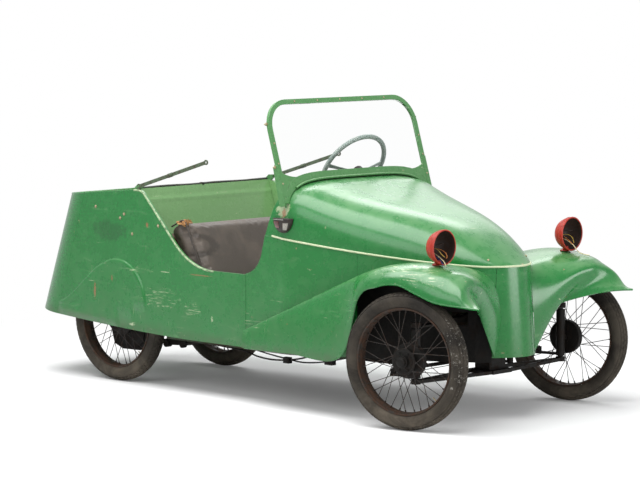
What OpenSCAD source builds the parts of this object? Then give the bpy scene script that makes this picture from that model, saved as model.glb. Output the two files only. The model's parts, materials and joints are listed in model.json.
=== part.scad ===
// Open two-seat microcar on four wire wheels: wide front track, narrow rear track,
// round bonnet, cutaway cockpit, upright windscreen, empty headlamp shells.
// Millimetres. +X is forward, +Y is the left side, +Z is up, ground is Z = 0.

/* [Layout] */
// distance between the front and rear wheel centres
wheelbase = 2160; // [1900:10:2400]
// distance between the front wheel middle planes
front_track = 1260; // [1160:10:1320]
// distance between the rear wheel middle planes
rear_track = 764; // [680:2:800]
// front wheel centre to the fender tips
front_overhang = 420; // [400:5:460]
// rear wheel centre to the foot of the tail
rear_overhang = 660; // [600:10:760]
// angle at which the front wheels are left standing, to the left
park_steer = 10.4; // [0:0.1:16]
// wheel middle plane to the kingpin axis
kingpin_offset = 85; // [80:1:95]

/* [Wheels] */
// outside diameter of a tyre
tyre_d = 640; // [600:2:660]
// width of a tyre section
tyre_w = 82; // [70:1:90]
// outside diameter of a rim
rim_d = 500; // [470:2:510]
// width of a rim
rim_w = 66; // [56:1:72]
// wire spokes in one wheel
spoke_count = 36; // [24:4:40]
// thickness of a spoke
spoke_d = 3.4; // [2.6:0.1:4.5]
// brake drum diameter
drum_d = 165; // [140:1:190]
// outer hub flange diameter
flange_d = 122; // [100:1:140]

/* [Body] */
// body width at the cowl
cowl_w = 1080; // [1000:10:1110]
// body width where the tail corners start
tail_w = 930; // [900:5:980]
// least gap between a rear tyre and the body wall
tyre_room = 25; // [15:1:40]
// thickness of a body wall
wall = 16; // [10:1:20]
// lower edge of the sides above the ground
sill_z = 275; // [265:5:300]
// lower edge of the tail above the ground
tail_z = 345; // [330:5:380]
// rim height at the rear bulkhead
rim_z = 1008; // [980:4:1040]
// drop of the rim from the bulkhead to the tail
rim_drop = 58; // [30:2:80]
// how far the tail leans forward at its top
tail_lean = 230; // [150:10:260]
// plan radius of the tail corners
tail_r = 280; // [200:10:340]
// lowest point of the cockpit cutaway
cut_z = 634; // [600:5:660]

/* [Bonnet] */
// crown height of the bonnet over its lower edge
crown_h = 256; // [230:2:280]
// height of the bonnet edge at the nose
bead_z = 728; // [715:1:740]
// rise of the bonnet edge from the nose to the cowl
bead_rise = 105; // [90:5:115]
// nose tip ahead of the front wheel centre
nose_len = 190; // [180:5:220]
// sheet thickness of bonnet and fenders
skin = 8; // [5:1:10]

/* [Windscreen] */
// top of the windscreen above the ground
screen_top = 1488; // [1400:2:1520]
// width of the windscreen
screen_w = 1092; // [1080:4:1120]
// backward lean of the windscreen
screen_lean = 16.6; // [10:0.2:18]
// width of the frame bars
frame_w = 24; // [18:1:30]

/* [Lamps] */
// headlamp shell diameter
lamp_d = 158; // [150:2:164]
// headlamp centre above the ground
lamp_z = 842; // [838:1:850]

/* [Cockpit] */
// steering wheel diameter
helm_d = 404; // [380:2:450]
// steering wheel centre, sideways from the middle
helm_y = 250; // [230:5:270]

/* [Hidden] */
$fn = 64;
car_l = front_overhang + wheelbase + rear_overhang;
fa = car_l / 2 - front_overhang;
ra = fa - wheelbase;
x_tail = -car_l / 2;
x_cowl = fa - 850;
x_bulk = ra + 240;
x_seam = x_cowl - 260;
x_well = fa - 455;
x_nose = fa + 140;
nose_top = fa + nose_len;
nose_bot = fa + nose_len + 35;
x_corner = x_tail + tail_r;
tail_half = max(tail_w / 2, rear_track / 2 + tyre_w / 2 + wall + tyre_room);
taper = atan((cowl_w / 2 - tail_half) / (x_cowl - x_corner));
wheel_r = tyre_d / 2;
kp_y = front_track / 2 - kingpin_offset;
arm_l = 120;
// joint line between panels, and the hair gap at which a piece sits on its seat
gap = 0.6;
seat_gap = 0.6;

function lerp(a, b, t) = a + (b - a) * t;
function clamp(v, a, b) = max(a, min(b, v));
function flat(g) = [for (r = g) each r];

// smooth curve through a row of points, t runs from 0 to 1
function bend(p, t) = let(n = len(p) - 1, s = clamp(t * n, 0, n - 1e-6), i = floor(s), f = s - i,
    a = p[max(i - 1, 0)], b = p[i], c = p[i + 1], d = p[min(i + 2, n)])
    0.5 * (2 * b + (c - a) * f + (2 * a - 5 * b + 4 * c - d) * f * f
    + (3 * b - a - 3 * c + d) * f * f * f);

// half width of the body at a station, the nose drawn in to a round bow
function bow(x, tip) = let(s = clamp((x - x_cowl) / (tip - x_cowl), 0, 1))
    cowl_w / 2 * sqrt(max(0, 1 - pow(s, 1.15)));
function side_y(x) = cowl_w / 2 - (x_cowl - x) * tan(taper);
function tip_at(z) = lerp(nose_bot, nose_top, (z - 300) / (bead_z - 300));
function body_y(x, z) = x < x_cowl ? side_y(x) : bow(x, tip_at(z));
function bead(x) = bead_z + bead_rise * pow(clamp((fa + 100 - x) / 1000, 0, 1.2), 1.2);
function sill(x) = sill_z + (tail_z - sill_z) * pow(clamp((x_bulk + 420 - x) / (x_bulk + 420 - x_tail), 0,
    1), 1.5);
function rim(x) = rim_z - rim_drop * clamp((x_bulk - x) / (x_bulk - x_tail - tail_lean), 0, 1);
// front flank of the cockpit cutaway, a quarter round that runs into a steep line
cut_r = 145;
cut_x = x_cowl - 288;
function cut_front(x) = let(d = x - cut_x) d < 0 ? cut_z
    : d < cut_r * sin(75) ? cut_z + cut_r - sqrt(cut_r * cut_r - d * d)
    : cut_z + cut_r * (1 - cos(75)) + (d - cut_r * sin(75)) * tan(75);

// solid between two surfaces given as grids of points
module skin_solid(a, b) {
    m = len(a);
    n = len(a[0]);
    k = m * n;
    quads = concat(
        [for (i = [0:m - 2], j = [0:n - 2]) [i * n + j, i * n + j + 1, (i + 1) * n + j + 1, (i + 1) * n + j]],
        [for (i = [0:m - 2], j = [0:n - 2])
            [k + i * n + j, k + (i + 1) * n + j, k + (i + 1) * n + j + 1, k + i * n + j + 1]],
        [for (i = [0:m - 2]) [i * n, (i + 1) * n, k + (i + 1) * n, k + i * n]],
        [for (i = [0:m - 2]) [(i + 1) * n + n - 1, i * n + n - 1, k + i * n + n - 1, k + (i + 1)
            * n + n - 1]],
        [for (j = [0:n - 2]) [j + 1, j, k + j, k + j + 1]],
        [for (j = [0:n - 2]) [(m - 1) * n + j, (m - 1) * n + j + 1, k + (m - 1) * n + j + 1, k + (m - 1)
            * n + j]]);
    polyhedron(concat(flat(a), flat(b)),
        [for (q = quads) each [[q[0], q[1], q[2]], [q[0], q[2], q[3]]]]);
}
function unit(v) = v / max(norm(v), 1e-9);
function grid_normal(g, i, j) = let(m = len(g) - 1, n = len(g[0]) - 1)
    unit(cross(g[min(i + 1, m)][j] - g[max(i - 1, 0)][j], g[i][min(j + 1, n)] - g[i][max(j - 1, 0)]));
function inset(g, t) = [for (i = [0:len(g) - 1]) [for (j = [0:len(g[0]) - 1]) g[i][j] + t * grid_normal(g,
    i, j)]];

// body wall standing on a plan curve, as columns from the lower to the upper edge
module wall_left(xs, low, high) {
    a = [for (x = xs) [[x, body_y(x, low(x)), low(x)], [x, body_y(x, high(x)), high(x)]]];
    skin_solid(a, inset(a, wall));
}
function steps(a, b, n) = [for (i = [0:n]) lerp(a, b, i / n)];
module mirrored() {
    children();
    mirror([0, 1, 0]) children();
}
// round bar between two points
module rod(a, b, d) {
    v = b - a;
    translate(a) rotate([0, acos(v[2] / norm(v)), atan2(v[1], v[0])]) cylinder(d = d, h = norm(v));
}
// corner of an outline rounded with radius r
function fillet(a, b, c, r, n = 8) = let(u = unit(a - b), v = unit(c - b), h = acos(u * v) / 2,
    q = b + unit(u + v) * r / sin(h), s = b + u * r / tan(h) - q, e = b + v * r / tan(h) - q,
    a0 = atan2(s[1], s[0]), a1 = atan2(e[1], e[0]), w = a1 - a0,
    t = w > 180 ? w - 360 : w < -180 ? w + 360 : w)
    [for (i = [0:n]) q + r * [cos(a0 + t * i / n), sin(a0 + t * i / n)]];

// chassis tubes; the front ends rise over the steering rod and carry the spring seat
rail_y = 190;
rail_z = sill_z - 34;
horn_z = 330;
module chassis_frame() color("dimgray") {
    mirrored() {
        translate([ra + 270, rail_y, rail_z]) rotate([0, 90, 0]) cylinder(d = 44, h = wheelbase - 270 - 430);
        rod([fa - 446, rail_y + 4, rail_z - 4], [fa - 258, 91, horn_z + 4], 38);
        translate([fa - 280, 95, horn_z]) rotate([0, 90, 0]) cylinder(d = 44, h = 320);
        translate([ra + 262, rail_y - 26, rail_z - 26]) cube([48, 90, wheel_r + 23 - rail_z + 26]);
        translate([ra + 60, 90, rail_z]) rotate([0, 90, 0]) cylinder(d = 36, h = 262);
    }
    for (x = [fa - 500, x_seam, ra + 330])
        translate([x, -rail_y, rail_z]) rotate([-90, 0, 0]) cylinder(d = 40, h = 2 * rail_y);
    translate([fa, -95, horn_z]) rotate([-90, 0, 0]) cylinder(d = 40, h = 190);
    translate([fa - 30, -60, horn_z]) cube([60, 120, 468 - horn_z]);
    translate([fa - 45, -60, 223]) cube([90, 120, horn_z - 223]);
}
floor_top = sill_z + 22;
x_floor = x_bulk + 208;
module floor_pan() color("darkolivegreen") translate([0, 0, sill_z - 11.5]) linear_extrude(14) {
    xs = concat(steps(x_floor, x_cowl, 2), steps(x_cowl + 60, x_well - 2, 7));
    pts = [for (x = xs) [x, body_y(x, sill_z) - wall - 2.5]];
    polygon(concat(pts, [for (i = [len(xs) - 1:-1:0]) [pts[i][0], -pts[i][1]]]));
}

// body walls
module nose_panel() color("forestgreen") {
    a = [for (i = [-12:12]) let(t = abs(i) / 12, s = i < 0 ? -1 : 1,
        xb = lerp(nose_bot, x_nose + gap, pow(t, 1.6)), xt = lerp(nose_top, x_nose + gap, pow(t, 1.6)))
        [[xb, s * bow(xb, nose_bot), 300], [xt, s * bow(xt, nose_top), bead_z - gap]]];
    skin_solid(inset(a, -wall * 0.75), a);
}
module well_wall() wall_left(steps(x_well + gap, x_nose - gap, 10), function(x) sill_z + 3, function(x)
    bead(x) - gap);
module wheel_wells() color("black") difference() {
    mirrored() well_wall();
    translate([fa - 45, -kp_y, 452]) cube([90, 2 * kp_y, 64]);
}
module scuttle_left() {
    xs = concat([x_seam + gap], steps(x_seam + 20, x_cowl - 115, 9), steps(x_cowl - 80, x_well - gap, 9));
    wall_left(xs, function(x) sill_z, function(x) min(cut_front(x), bead(x) - gap));
}
module scuttle_panel_left() color("forestgreen") scuttle_left();
module scuttle_panel_right() color("forestgreen") mirror([0, 1, 0]) scuttle_left();

// flat rear side with the cockpit cutaway and a raised false fender round the wheel
function cut_rear() = let(b = [x_bulk + 408, cut_z], a = [x_bulk + 42, rim_z])
    concat(fillet([x_seam - gap, cut_z], b, a, 400, 10), fillet(b, a, [x_bulk - 20, rim_z], 60, 5),
        [[x_bulk - 18, rim_z]]);
module side_plate(t) translate([x_cowl, cowl_w / 2, 0]) rotate([0, 0, taper]) rotate([90, 0, 0])
    linear_extrude(t) translate([-x_cowl, 0]) children();
x_top_corner = x_corner + tail_lean;
module quarter_left() {
    side_plate(wall) polygon(concat(
        [for (x = steps(x_corner + gap, x_seam - gap, 14)) [x, sill(x)]],
        [[x_seam - gap, cut_z]], cut_rear(), [[x_top_corner + gap, rim(x_top_corner)]]));
    translate([0, 8, 0]) side_plate(9) polygon(concat(
        [[x_corner + 12, sill(x_corner) + 70], [ra - 312, sill(x_corner) + 74]],
        [for (a = [124:-12.4:0]) [ra + 92 + 185 * cos(a), 440 + 185 * sin(a)]],
        [for (x = steps(ra + 277, x_corner + 12, 10)) [x, sill(x) + 3]]));
}
module quarter_panel_left() color("forestgreen") quarter_left();
module quarter_panel_right() color("forestgreen") mirror([0, 1, 0]) quarter_left();
function tail_plan(lift, d) = let(x0 = x_corner + lift, w = side_y(x0), r = tail_r - d)
    concat([for (i = [0:10]) let(q = 90 + taper + (90 - taper) * i / 10)
        [x0 + r * cos(q), w - tail_r + r * sin(q)]],
        [for (i = [10:-1:0]) let(q = 90 + taper + (90 - taper) * i / 10)
        [x0 + r * cos(q), -(w - tail_r + r * sin(q))]]);
module tail_panel() color("forestgreen") {
    a = [for (d = [0, wall]) let(lo = tail_plan(0, d), hi = tail_plan(tail_lean, d))
        [for (i = [0:len(lo) - 1]) [[lo[i][0], lo[i][1], sill(lo[i][0])], [hi[i][0], hi[i][1],
            rim(hi[i][0])]]]];
    skin_solid(a[0], a[1]);
}
deck_slope = atan(rim_drop / (x_bulk - x_tail - tail_lean));
module rear_deck() color("forestgreen") translate([x_bulk, 0, rim_z - 20]) rotate([0, -deck_slope, 0])
    linear_extrude(12) translate([-x_bulk, 0]) {
    t = tail_plan(tail_lean - 2, wall + 0.5);
    w = side_y(x_bulk) - wall - 1;
    polygon(concat([[x_bulk - 10, w]], t, [[x_bulk - 10, -w]]));
}
bulk_lean = 17;
module rear_bulkhead() color("forestgreen") translate([x_bulk - 8, 0, rim_z]) rotate([0, -bulk_lean, 0])
    rotate([90, 0, 90]) linear_extrude(16) {
    h = (rim_z - floor_top + 18) / cos(bulk_lean);
    w = side_y(x_bulk) - wall - 0.9;
    polygon([[-w, 0], [w, 0], [w + 5, -h], [-w - 5, -h]]);
}

// bonnet, a dome drawn in to the nose: each section is an arch, square at the cowl and round at the nose
function dome_h(b) = crown_h * pow(max(0, 1 - pow(b, 4.2)), 1.3) * (1 - 0.6 * b * (1 - b));
function dome(k, q, d) = let(s = clamp(k, 0, 1), tip = nose_top - d, x0 = x_cowl - 120,
    xs = lerp(x0, tip, 1 - pow(1 - s, 2)), b = clamp((xs - x_cowl) / (nose_top - x_cowl), 0, 1),
    w = (xs < x_cowl ? side_y(xs) : bow(xs, nose_top)) - d * (1 - 0.6 * s),
    rise = max(0.5, dome_h(b) - d) * pow(sin(q), lerp(0.5, 1.3, b)),
    y = w * pow(abs(cos(q)), lerp(0.43, 0.78, b)))
    [xs + rise * 0.37 * pow(1 - s, 3), cos(q) < 0 ? -y : y, bead(xs) + rise];
module bonnet() color("forestgreen") {
    ks = concat(steps(0, 0.9, 14), [0.94, 0.97]);
    skin_solid([for (k = ks) [for (i = [0:20]) dome(k, 9 * i, 0)]],
        [for (k = ks) [for (i = [0:20]) dome(k, 9 * i, skin)]]);
}

// fenders: three guide lines from the front edge to the rear point, with a round crown;
// a point is [ahead of the front axle, outside the cowl's half width, height]
fender_top = [[150, 0, 305], [162, 0, 450], [150, 0, 590], [110, 0, 690], [20, 0, 728], [-130, 0, 738],
    [-280, 0, 700], [-420, 0, 640], [-760, 0, 503], [-1104, 0, 362]];
fender_crown = [[205, -240, 520], [285, -105, 655], [235, -55, 708], [150, -20, 742], [20, -15, 762],
    [-130, -10, 752], [-280, 5, 712], [-430, 16, 650], [-760, 20, 507], [-1104, 8, 364]];
fender_lip = [[front_overhang, 35, 600], [330, 72, 594], [200, 105, 604], [90, 115, 638], [-20, 120, 672],
    [-150, 116, 655], [-275, 106, 592], [-405, 90, sill_z + 26], [-760, 60, sill_z + 12],
    [-1104, 26, sill_z + 4]];
// face of the body a fender lies on, eased over the shoulder at the cowl
function fender_seat(x, z) = body_y(x, z) + 2 * seat_gap + 6 * exp(-pow((x - x_cowl) / 70, 2));
function fender_at(t, v) = let(m = [0, cowl_w / 2, 0], i = bend(fender_top, t),
    c = bend(fender_crown, t) + m, l = bend(fender_lip, t) + m,
    o = [i[0], fender_seat(fa + i[0], i[2]), i[2]], f = clamp(t * 5, 0, 1), a = (v - 0.4) * 150,
    swell = 26 * sin(180 * clamp(t * 3, 0, 1)) * sin(180 * v),
    q = v < 0.4 ? lerp(o, c, v / 0.4) + [0, 0, (c[2] - o[2]) * (sin(v * 225) - v / 0.4) * f]
        : [lerp(c[0], l[0], a / 90), lerp(c[1], l[1], lerp(a / 90, sin(a), f)),
            lerp(lerp(c[2], l[2], sin(a)), lerp(l[2], c[2], cos(a)), f)])
    [fa + q[0] + swell * 0.3, q[1], q[2] + swell];
module fender_shell() {
    g = [for (i = [0:30]) [for (j = [0:12]) fender_at(i / 30, j / 12)]];
    skin_solid(g, [for (r = inset(g, skin)) [for (p = r) [p[0], max(p[1], fender_seat(p[0], p[2])), p[2]]]]);
}
module fender_left() color("forestgreen") fender_shell();
module fender_right() color("forestgreen") mirror([0, 1, 0]) fender_shell();

// windscreen in its own leaning plane, [sideways, up the plane]; its foot follows the bonnet
foot_x = x_cowl + 14;
foot_z = 1003;
screen_h = (screen_top - foot_z) / cos(screen_lean);
screen_r = 148;
function past_screen(p) = p[0] - foot_x + (p[2] - foot_z) * tan(screen_lean);
function meet(q, a, b, n = 22) = let(m = (a + b) / 2) n == 0 ? dome(m, q, 0)
    : past_screen(dome(m, q, 0)) > 0 ? meet(q, a, m, n - 1) : meet(q, m, b, n - 1);
bonnet_line = [for (q = [6:4:174]) let(p = meet(q, 0, 0.5)) [p[1], (p[2] - foot_z) / cos(screen_lean)]];
function seal(y) = seat_gap + 2 + 5 * clamp((430 - abs(y)) / 30, 0, 1);
function screen_line(d) = let(w = screen_w / 2 - d, h = screen_h - d, r = screen_r - d)
    concat(fillet([w, 0], [w, h], [0, h], r, 10), fillet([0, h], [-w, h], [-w, 0], r, 10));
// lower edge of the pane: the rail's height above the bonnet, higher at the corner gussets
rail_h = 44;
gusset_h = 22;
function pane_low(d, n = 20) = [for (i = [0:n]) let(y = lerp(-1, 1, i / n) * (screen_w / 2 - frame_w - d))
    [y, d + lookup(y, bonnet_line) + rail_h + gusset_h * pow(2 * abs(y) / screen_w, 4)]];
module screen_plane(t) translate([foot_x, 0, foot_z]) rotate([0, -screen_lean, 0]) rotate([90, 0, 90])
    linear_extrude(t, center = true) children();
post_low = -8;
module windscreen_frame() color("forestgreen") {
    w = screen_w / 2;
    screen_plane(16) difference() {
        polygon(concat([[w, post_low]], screen_line(0), [[-w, post_low]]));
        polygon(concat(screen_line(frame_w), pane_low(0)));
        polygon(concat([for (p = bonnet_line) [p[0] + (p[0] < 0 ? -1 : 1) * seat_gap, p[1] + seal(p[0])]],
            [[-w, -300], [w, -300]]));
    }
    mirrored() translate([0, w - 1, 0]) rotate([90, 0, 0]) mirror([0, 0, 1]) linear_extrude(5)
        translate([foot_x, foot_z]) rotate(screen_lean) polygon([[-26, -18], [6, -18], [8, 20], [8, 180],
            [-6, 188], [-20, 176], [-30, 20]]);
}
module windscreen_glass() color([0.8, 0.9, 0.9, 0.4]) screen_plane(4)
    polygon(concat(screen_line(frame_w + seat_gap), pane_low(seat_gap)));

// cockpit fittings
module dashboard() color("darkgreen") difference() {
    translate([x_cowl - 66, 0, 0]) rotate([90, 0, 90]) linear_extrude(14) {
        top = [for (i = [1:19]) let(p = dome(0.03, 9 * i, skin + 3.3)) [p[1], p[2]]];
        polygon(concat(top, [[-side_y(x_cowl) + wall + 40, 870], [side_y(x_cowl) - wall - 40, 870]]));
    }
    on_column() cylinder(d = 56, h = 500);
}
module firewall() color("darkolivegreen") difference() {
    translate([x_well, 0, 0]) rotate([90, 0, 90]) linear_extrude(12) {
        w = body_y(x_well + 12, sill_z) - wall - 2.5;
        v = body_y(x_well + 12, bead_z) - wall - 2.5;
        polygon([[-w, sill_z + 4], [w, sill_z + 4], [v, 760], [v * 0.8, 930], [0, 990], [-v * 0.8, 930],
            [-v, 760]]);
    }
    on_column() cylinder(d = 70, h = 1200);
}
seat_x = x_bulk + 470;
back_lean = 26;
seat_w = 2 * (side_y(x_bulk) - wall) - 30;
module seat_frame() color("saddlebrown") {
    translate([seat_x - 40, -seat_w / 2 + 20, floor_top - 19]) cube([400, seat_w - 40, 112]);
    translate([seat_x - 40, seat_w / 2 - 20, floor_top + 195]) rotate([90, 0, 0]) linear_extrude(seat_w - 40)
        rotate(back_lean) translate([-82.2, -170]) square([12, 540]);
}
module seat_profile(pts, r) polygon([for (i = [0:len(pts) - 1])
    each fillet(pts[(i + len(pts) - 1) % len(pts)], pts[i], pts[(i + 1) % len(pts)], r, 5)]);
module seat_cushion() color("saddlebrown") translate([seat_x, seat_w / 2, floor_top + 98]) rotate([90, 0, 0])
    linear_extrude(seat_w) seat_profile([[-28, 0], [440, 0], [440, 112], [-28, 78]], 30);
module seat_back() color("saddlebrown") translate([seat_x - 40, seat_w / 2, floor_top + 195])
    rotate([90, 0, 0]) linear_extrude(seat_w) rotate(back_lean)
    seat_profile([[-70, 0], [70, 0], [70, 402], [-70, 402]], 40);

// headlamp shells, open to the front, on short flared feet; lamp_x is the plane of the mouth
lamp_x = fa + 118;
lamp_y = cowl_w / 2 - 59;
lamp_r = lamp_d / 2;
lamp_barrel = 10;
foot_dx = -lamp_barrel - 32;
lamp_foot = fender_crown[4][2] - lamp_z - 3.2;
module lamp_shell() translate([lamp_x, lamp_y, lamp_z]) {
    rotate([0, 90, 0]) rotate_extrude() polygon(concat(
        [for (q = [8:10.25:90]) lamp_r * [sin(q), -cos(q)] - [0, lamp_barrel]],
        [[lamp_r, -8], [lamp_r + 4, -7], [lamp_r + 4, 0], [lamp_r - 3, 0]],
        [for (q = [90:-10.25:8]) (lamp_r - 3) * [sin(q), -cos(q)] - [0, lamp_barrel]]));
    translate([foot_dx, 0, lamp_foot]) rotate_extrude() polygon([[0, 0], [27, 0], [25, 4], [15, 10], [12, 18],
        [12, 7 - lamp_foot - lamp_r * sqrt(1 - pow(32 / lamp_r, 2))],
        [0, 7 - lamp_foot - lamp_r * sqrt(1 - pow(32 / lamp_r, 2))]]);
}
module headlamps() color("firebrick") mirrored() lamp_shell();
module lamp_wire(route) {
    n = 8;
    r = 2.2;
    m = 24;
    c = [for (i = [0:m]) bend(route, i / m)];
    ring = [for (i = [0:m]) let(d = unit(c[min(i + 1, m)] - c[max(i - 1, 0)]), u = unit(cross(d, [0.3, 1,
        0.2])),
        w = cross(d, u)) [for (j = [0:n - 1]) c[i] + r * (u * cos(360 * j / n) + w * sin(360 * j / n))]];
    polyhedron(flat(ring), concat([[for (j = [n - 1:-1:0]) j]], [[for (j = [0:n - 1]) m * n + j]],
        [for (i = [0:m - 1], j = [0:n - 1]) each [[i * n + j, i * n + (j + 1) % n, (i + 1) * n + (j + 1) % n],
        [i * n + j, (i + 1) * n + (j + 1) % n, (i + 1) * n + j]]]));
}
wire_long = [[-81.8, 0, -22.4], [-46, 6, -32], [-8, 10, -52], [16, 12, -76], [36, 14, -91], [64, 18, -97.5],
    [86, 24, -100]];
wire_short = [[-81.8, 0, -22.4], [-50, -6, -35], [-18, -10, -50], [8, -14, -66], [24, -20, -84]];
module headlamp_wire_left() color("wheat") translate([lamp_x, lamp_y, lamp_z]) lamp_wire(wire_long);
module headlamp_wire_right() color("wheat") translate([lamp_x, -lamp_y, lamp_z]) lamp_wire(wire_short);

// small side lamps, their backs laid against the bonnet side
side_lamp_h = 62;
side_lamp_k = 0.046;
side_lamp_low = dome(side_lamp_k, 2, 0);
side_lamp_high = dome(side_lamp_k, 10, 0);
side_lamp_tilt = atan((side_lamp_low[1] - side_lamp_high[1]) / (side_lamp_high[2] - side_lamp_low[2]));
module side_lamps() color("silver") mirrored() translate(side_lamp_low + [0, seat_gap, 0])
    rotate([side_lamp_tilt, 0, -4]) rotate([0, 90, 0]) intersection() {
    translate([-side_lamp_h / 2, -6, 0]) cylinder(d = side_lamp_h + 8, h = 100, center = true);
    translate([-side_lamp_h, 0, -50]) cube([side_lamp_h, 40, 100]);
}

// engine block, axles and springs
module engine_block() color("dimgray") translate([ra + 52, -140, rail_z + 18.2]) cube([240, 280, 290]);
module front_axle() color("dimgray") {
    mirrored() {
        translate([fa, kp_y, 204]) cylinder(d = 46, h = 22);
        translate([fa, kp_y, 204]) cylinder(d = 24.9, h = 264);
        translate([fa, 0, 206]) linear_extrude(16) difference() {
            polygon([[-14, kp_y], [14, kp_y], [72, 60], [-72, 60]]);
            polygon([[0, kp_y - 70], [46, 90], [-46, 90]]);
        }
    }
    translate([fa - 76, -70, 205]) cube([152, 140, 18]);
}
module front_spring() color("dimgray") {
    for (k = [0:3]) translate([fa - 25, 100 * k - kp_y + 20, 468 + 8 * k]) cube([50,
        2 * kp_y - 40 - 200 * k, 8]);
    mirrored() translate([fa, kp_y, 468]) cylinder(d = 50, h = 24);
}
module rear_axle() color("dimgray") {
    translate([ra, -rear_track / 2 + 60, wheel_r]) rotate([-90, 0, 0]) cylinder(d = 46, h = rear_track - 120);
    translate([ra, -rear_track / 2 - 46, wheel_r]) rotate([-90, 0, 0]) cylinder(d = 27.9,
        h = rear_track + 92);
    mirrored() {
        translate([ra - 30, rail_y + 18, wheel_r + 23.2]) cube([344, 44, 16]);
        translate([ra - 26, rail_y + 14, wheel_r - 26]) cube([52, 52, 72]);
    }
}

// wheels: rim, spokes and hub in one; side = 1 for wheels on the left
module wheel_set(bore) {
    rotate([-90, 0, 0]) {
        rotate_extrude($fn = 96) difference() {
            translate([rim_d / 2 - 13, -rim_w / 2]) square([12.8, rim_w]);
            translate([rim_d / 2 - 6, -rim_w / 2 + 7]) square([13, rim_w - 14]);
        }
        difference() {
            union() {
                translate([0, 0, -46]) cylinder(d = 58, h = 92);
                translate([0, 0, -44]) cylinder(d = drum_d, h = 36);
                translate([0, 0, 24]) cylinder(d = flange_d, h = 6);
                translate([0, 0, 44]) cylinder(d = 44, h = 14);
            }
            translate([0, 0, -60]) cylinder(d = bore, h = 110);
        }
        for (i = [0:spoke_count - 1]) let(s = i % 2, a = 360 * i / spoke_count, c = (i % 4 < 2) ? 1 : -1,
            r0 = (s ? flange_d : drum_d) / 2 - 5, z0 = s ? 27 : -12, b = a + c * (s ? 40 : 30))
            rod([r0 * cos(b), r0 * sin(b), z0], [(rim_d / 2 - 8) * cos(a), (rim_d / 2 - 8) * sin(a),
                s ? 6 : -6], spoke_d);
    }
}
module tyre_ring() rotate([-90, 0, 0]) rotate_extrude($fn = 96) difference() {
    translate([wheel_r - tyre_w / 2, 0]) circle(d = tyre_w, $fn = 40);
    translate([0, -tyre_w]) square([rim_d / 2, 2 * tyre_w]);
}
module at_front_left() translate([fa, kp_y, 0]) rotate([0, 0, park_steer]) translate([0, kingpin_offset,
    wheel_r]) children();
module at_front_right() translate([fa, -kp_y, 0]) rotate([0, 0, park_steer]) translate([0, -kingpin_offset,
    wheel_r]) mirror([0, 1, 0]) children();
module at_rear_left() translate([ra, rear_track / 2, wheel_r]) children();
module at_rear_right() mirror([0, 1, 0]) at_rear_left() children();
module wheel_front_left() color("sienna") at_front_left() wheel_set(28);
module wheel_front_right() color("sienna") at_front_right() wheel_set(28);
module wheel_rear_left() color("sienna") at_rear_left() wheel_set(28);
module wheel_rear_right() color("sienna") at_rear_right() wheel_set(28);
module tyre_front_left() color("dimgray") at_front_left() tyre_ring();
module tyre_front_right() color("dimgray") at_front_right() tyre_ring();
module tyre_rear_left() color("dimgray") at_rear_left() tyre_ring();
module tyre_rear_right() color("dimgray") at_rear_right() tyre_ring();

// steering: knuckles on the kingpins, joined by one rod, moved by the drop arm
arm_z = 240;
box_y = 150;
module knuckle(s) {
    difference() {
        union() {
            translate([0, 0, 232]) cylinder(d = 44, h = 228);
            translate([0, 0, wheel_r]) rotate([-90 * s, 0, 0]) cylinder(d = 27.9, h = kingpin_offset + 44);
            translate([-arm_l, -11, arm_z - 6]) cube([arm_l, 22, 12]);
            translate([-arm_l, 0, arm_z - 6]) cylinder(d = 34, h = 12);
            translate([-arm_l, 0, arm_z + 5]) cylinder(d = 12, h = 27);
        }
        translate([0, 0, 200]) cylinder(d = 25, h = 300);
    }
}
module knuckle_left() color("dimgray") translate([fa, kp_y, 0]) rotate([0, 0, park_steer]) knuckle(1);
module knuckle_right() color("dimgray") translate([fa, -kp_y, 0]) rotate([0, 0, park_steer]) knuckle(-1);
arm_dx = -arm_l * cos(park_steer);
arm_dy = -arm_l * sin(park_steer);
module tie_rod() color("dimgray") translate([fa + arm_dx, arm_dy, arm_z + 8]) difference() {
    union() {
        translate([0, 8 - kp_y, 10]) rotate([-90, 0, 0]) cylinder(d = 18, h = 2 * kp_y - 16);
        for (y = [-kp_y, box_y, kp_y]) translate([0, y, 0]) cylinder(d = 30, h = 20);
    }
    for (y = [-kp_y, box_y, kp_y]) translate([0, y, -1]) cylinder(d = 12.1, h = 30);
}
module pitman_arm() color("dimgray") translate([fa, box_y, 0]) rotate([0, 0, park_steer]) {
    translate([-arm_l, -11, arm_z - 6]) cube([arm_l, 22, 12]);
    translate([-arm_l, 0, arm_z - 6]) cylinder(d = 32, h = 12);
    translate([-arm_l, 0, arm_z + 5]) cylinder(d = 12, h = 27);
    translate([0, 0, arm_z - 6]) cylinder(d = 32, h = 60);
}
helm = [x_cowl - 255, helm_y, 1124];
column_end = [fa - 130, box_y, 480];
column = column_end - helm;
module on_column() translate(helm) rotate([0, acos(column[2] / norm(column)), atan2(column[1], column[0])])
    children();
module steering_wheel() color("gray") on_column() {
    rotate_extrude($fn = 72) translate([helm_d / 2 - 13, 0]) circle(d = 26, $fn = 24);
    for (a = [60, 180, 300]) rotate([0, 0, a]) translate([0, -9, -3]) cube([helm_d / 2 - 14, 18, 6]);
    translate([0, 0, -22]) cylinder(d = 64, h = 44);
    cylinder(d = 32, h = norm(column));
}
module steering_box() color("dimgray") {
    on_column() translate([-36, -40, norm(column) + 1]) cube([72, 80, 70]);
    translate([fa, box_y, arm_z + 54.5]) cylinder(d = 48, h = 150);
    translate([fa - 110, box_y - 22, 385]) cube([110, 44, 56]);
    translate([fa - 100, 84, horn_z + 22.3]) cube([50, 60, 60]);
}

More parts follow.
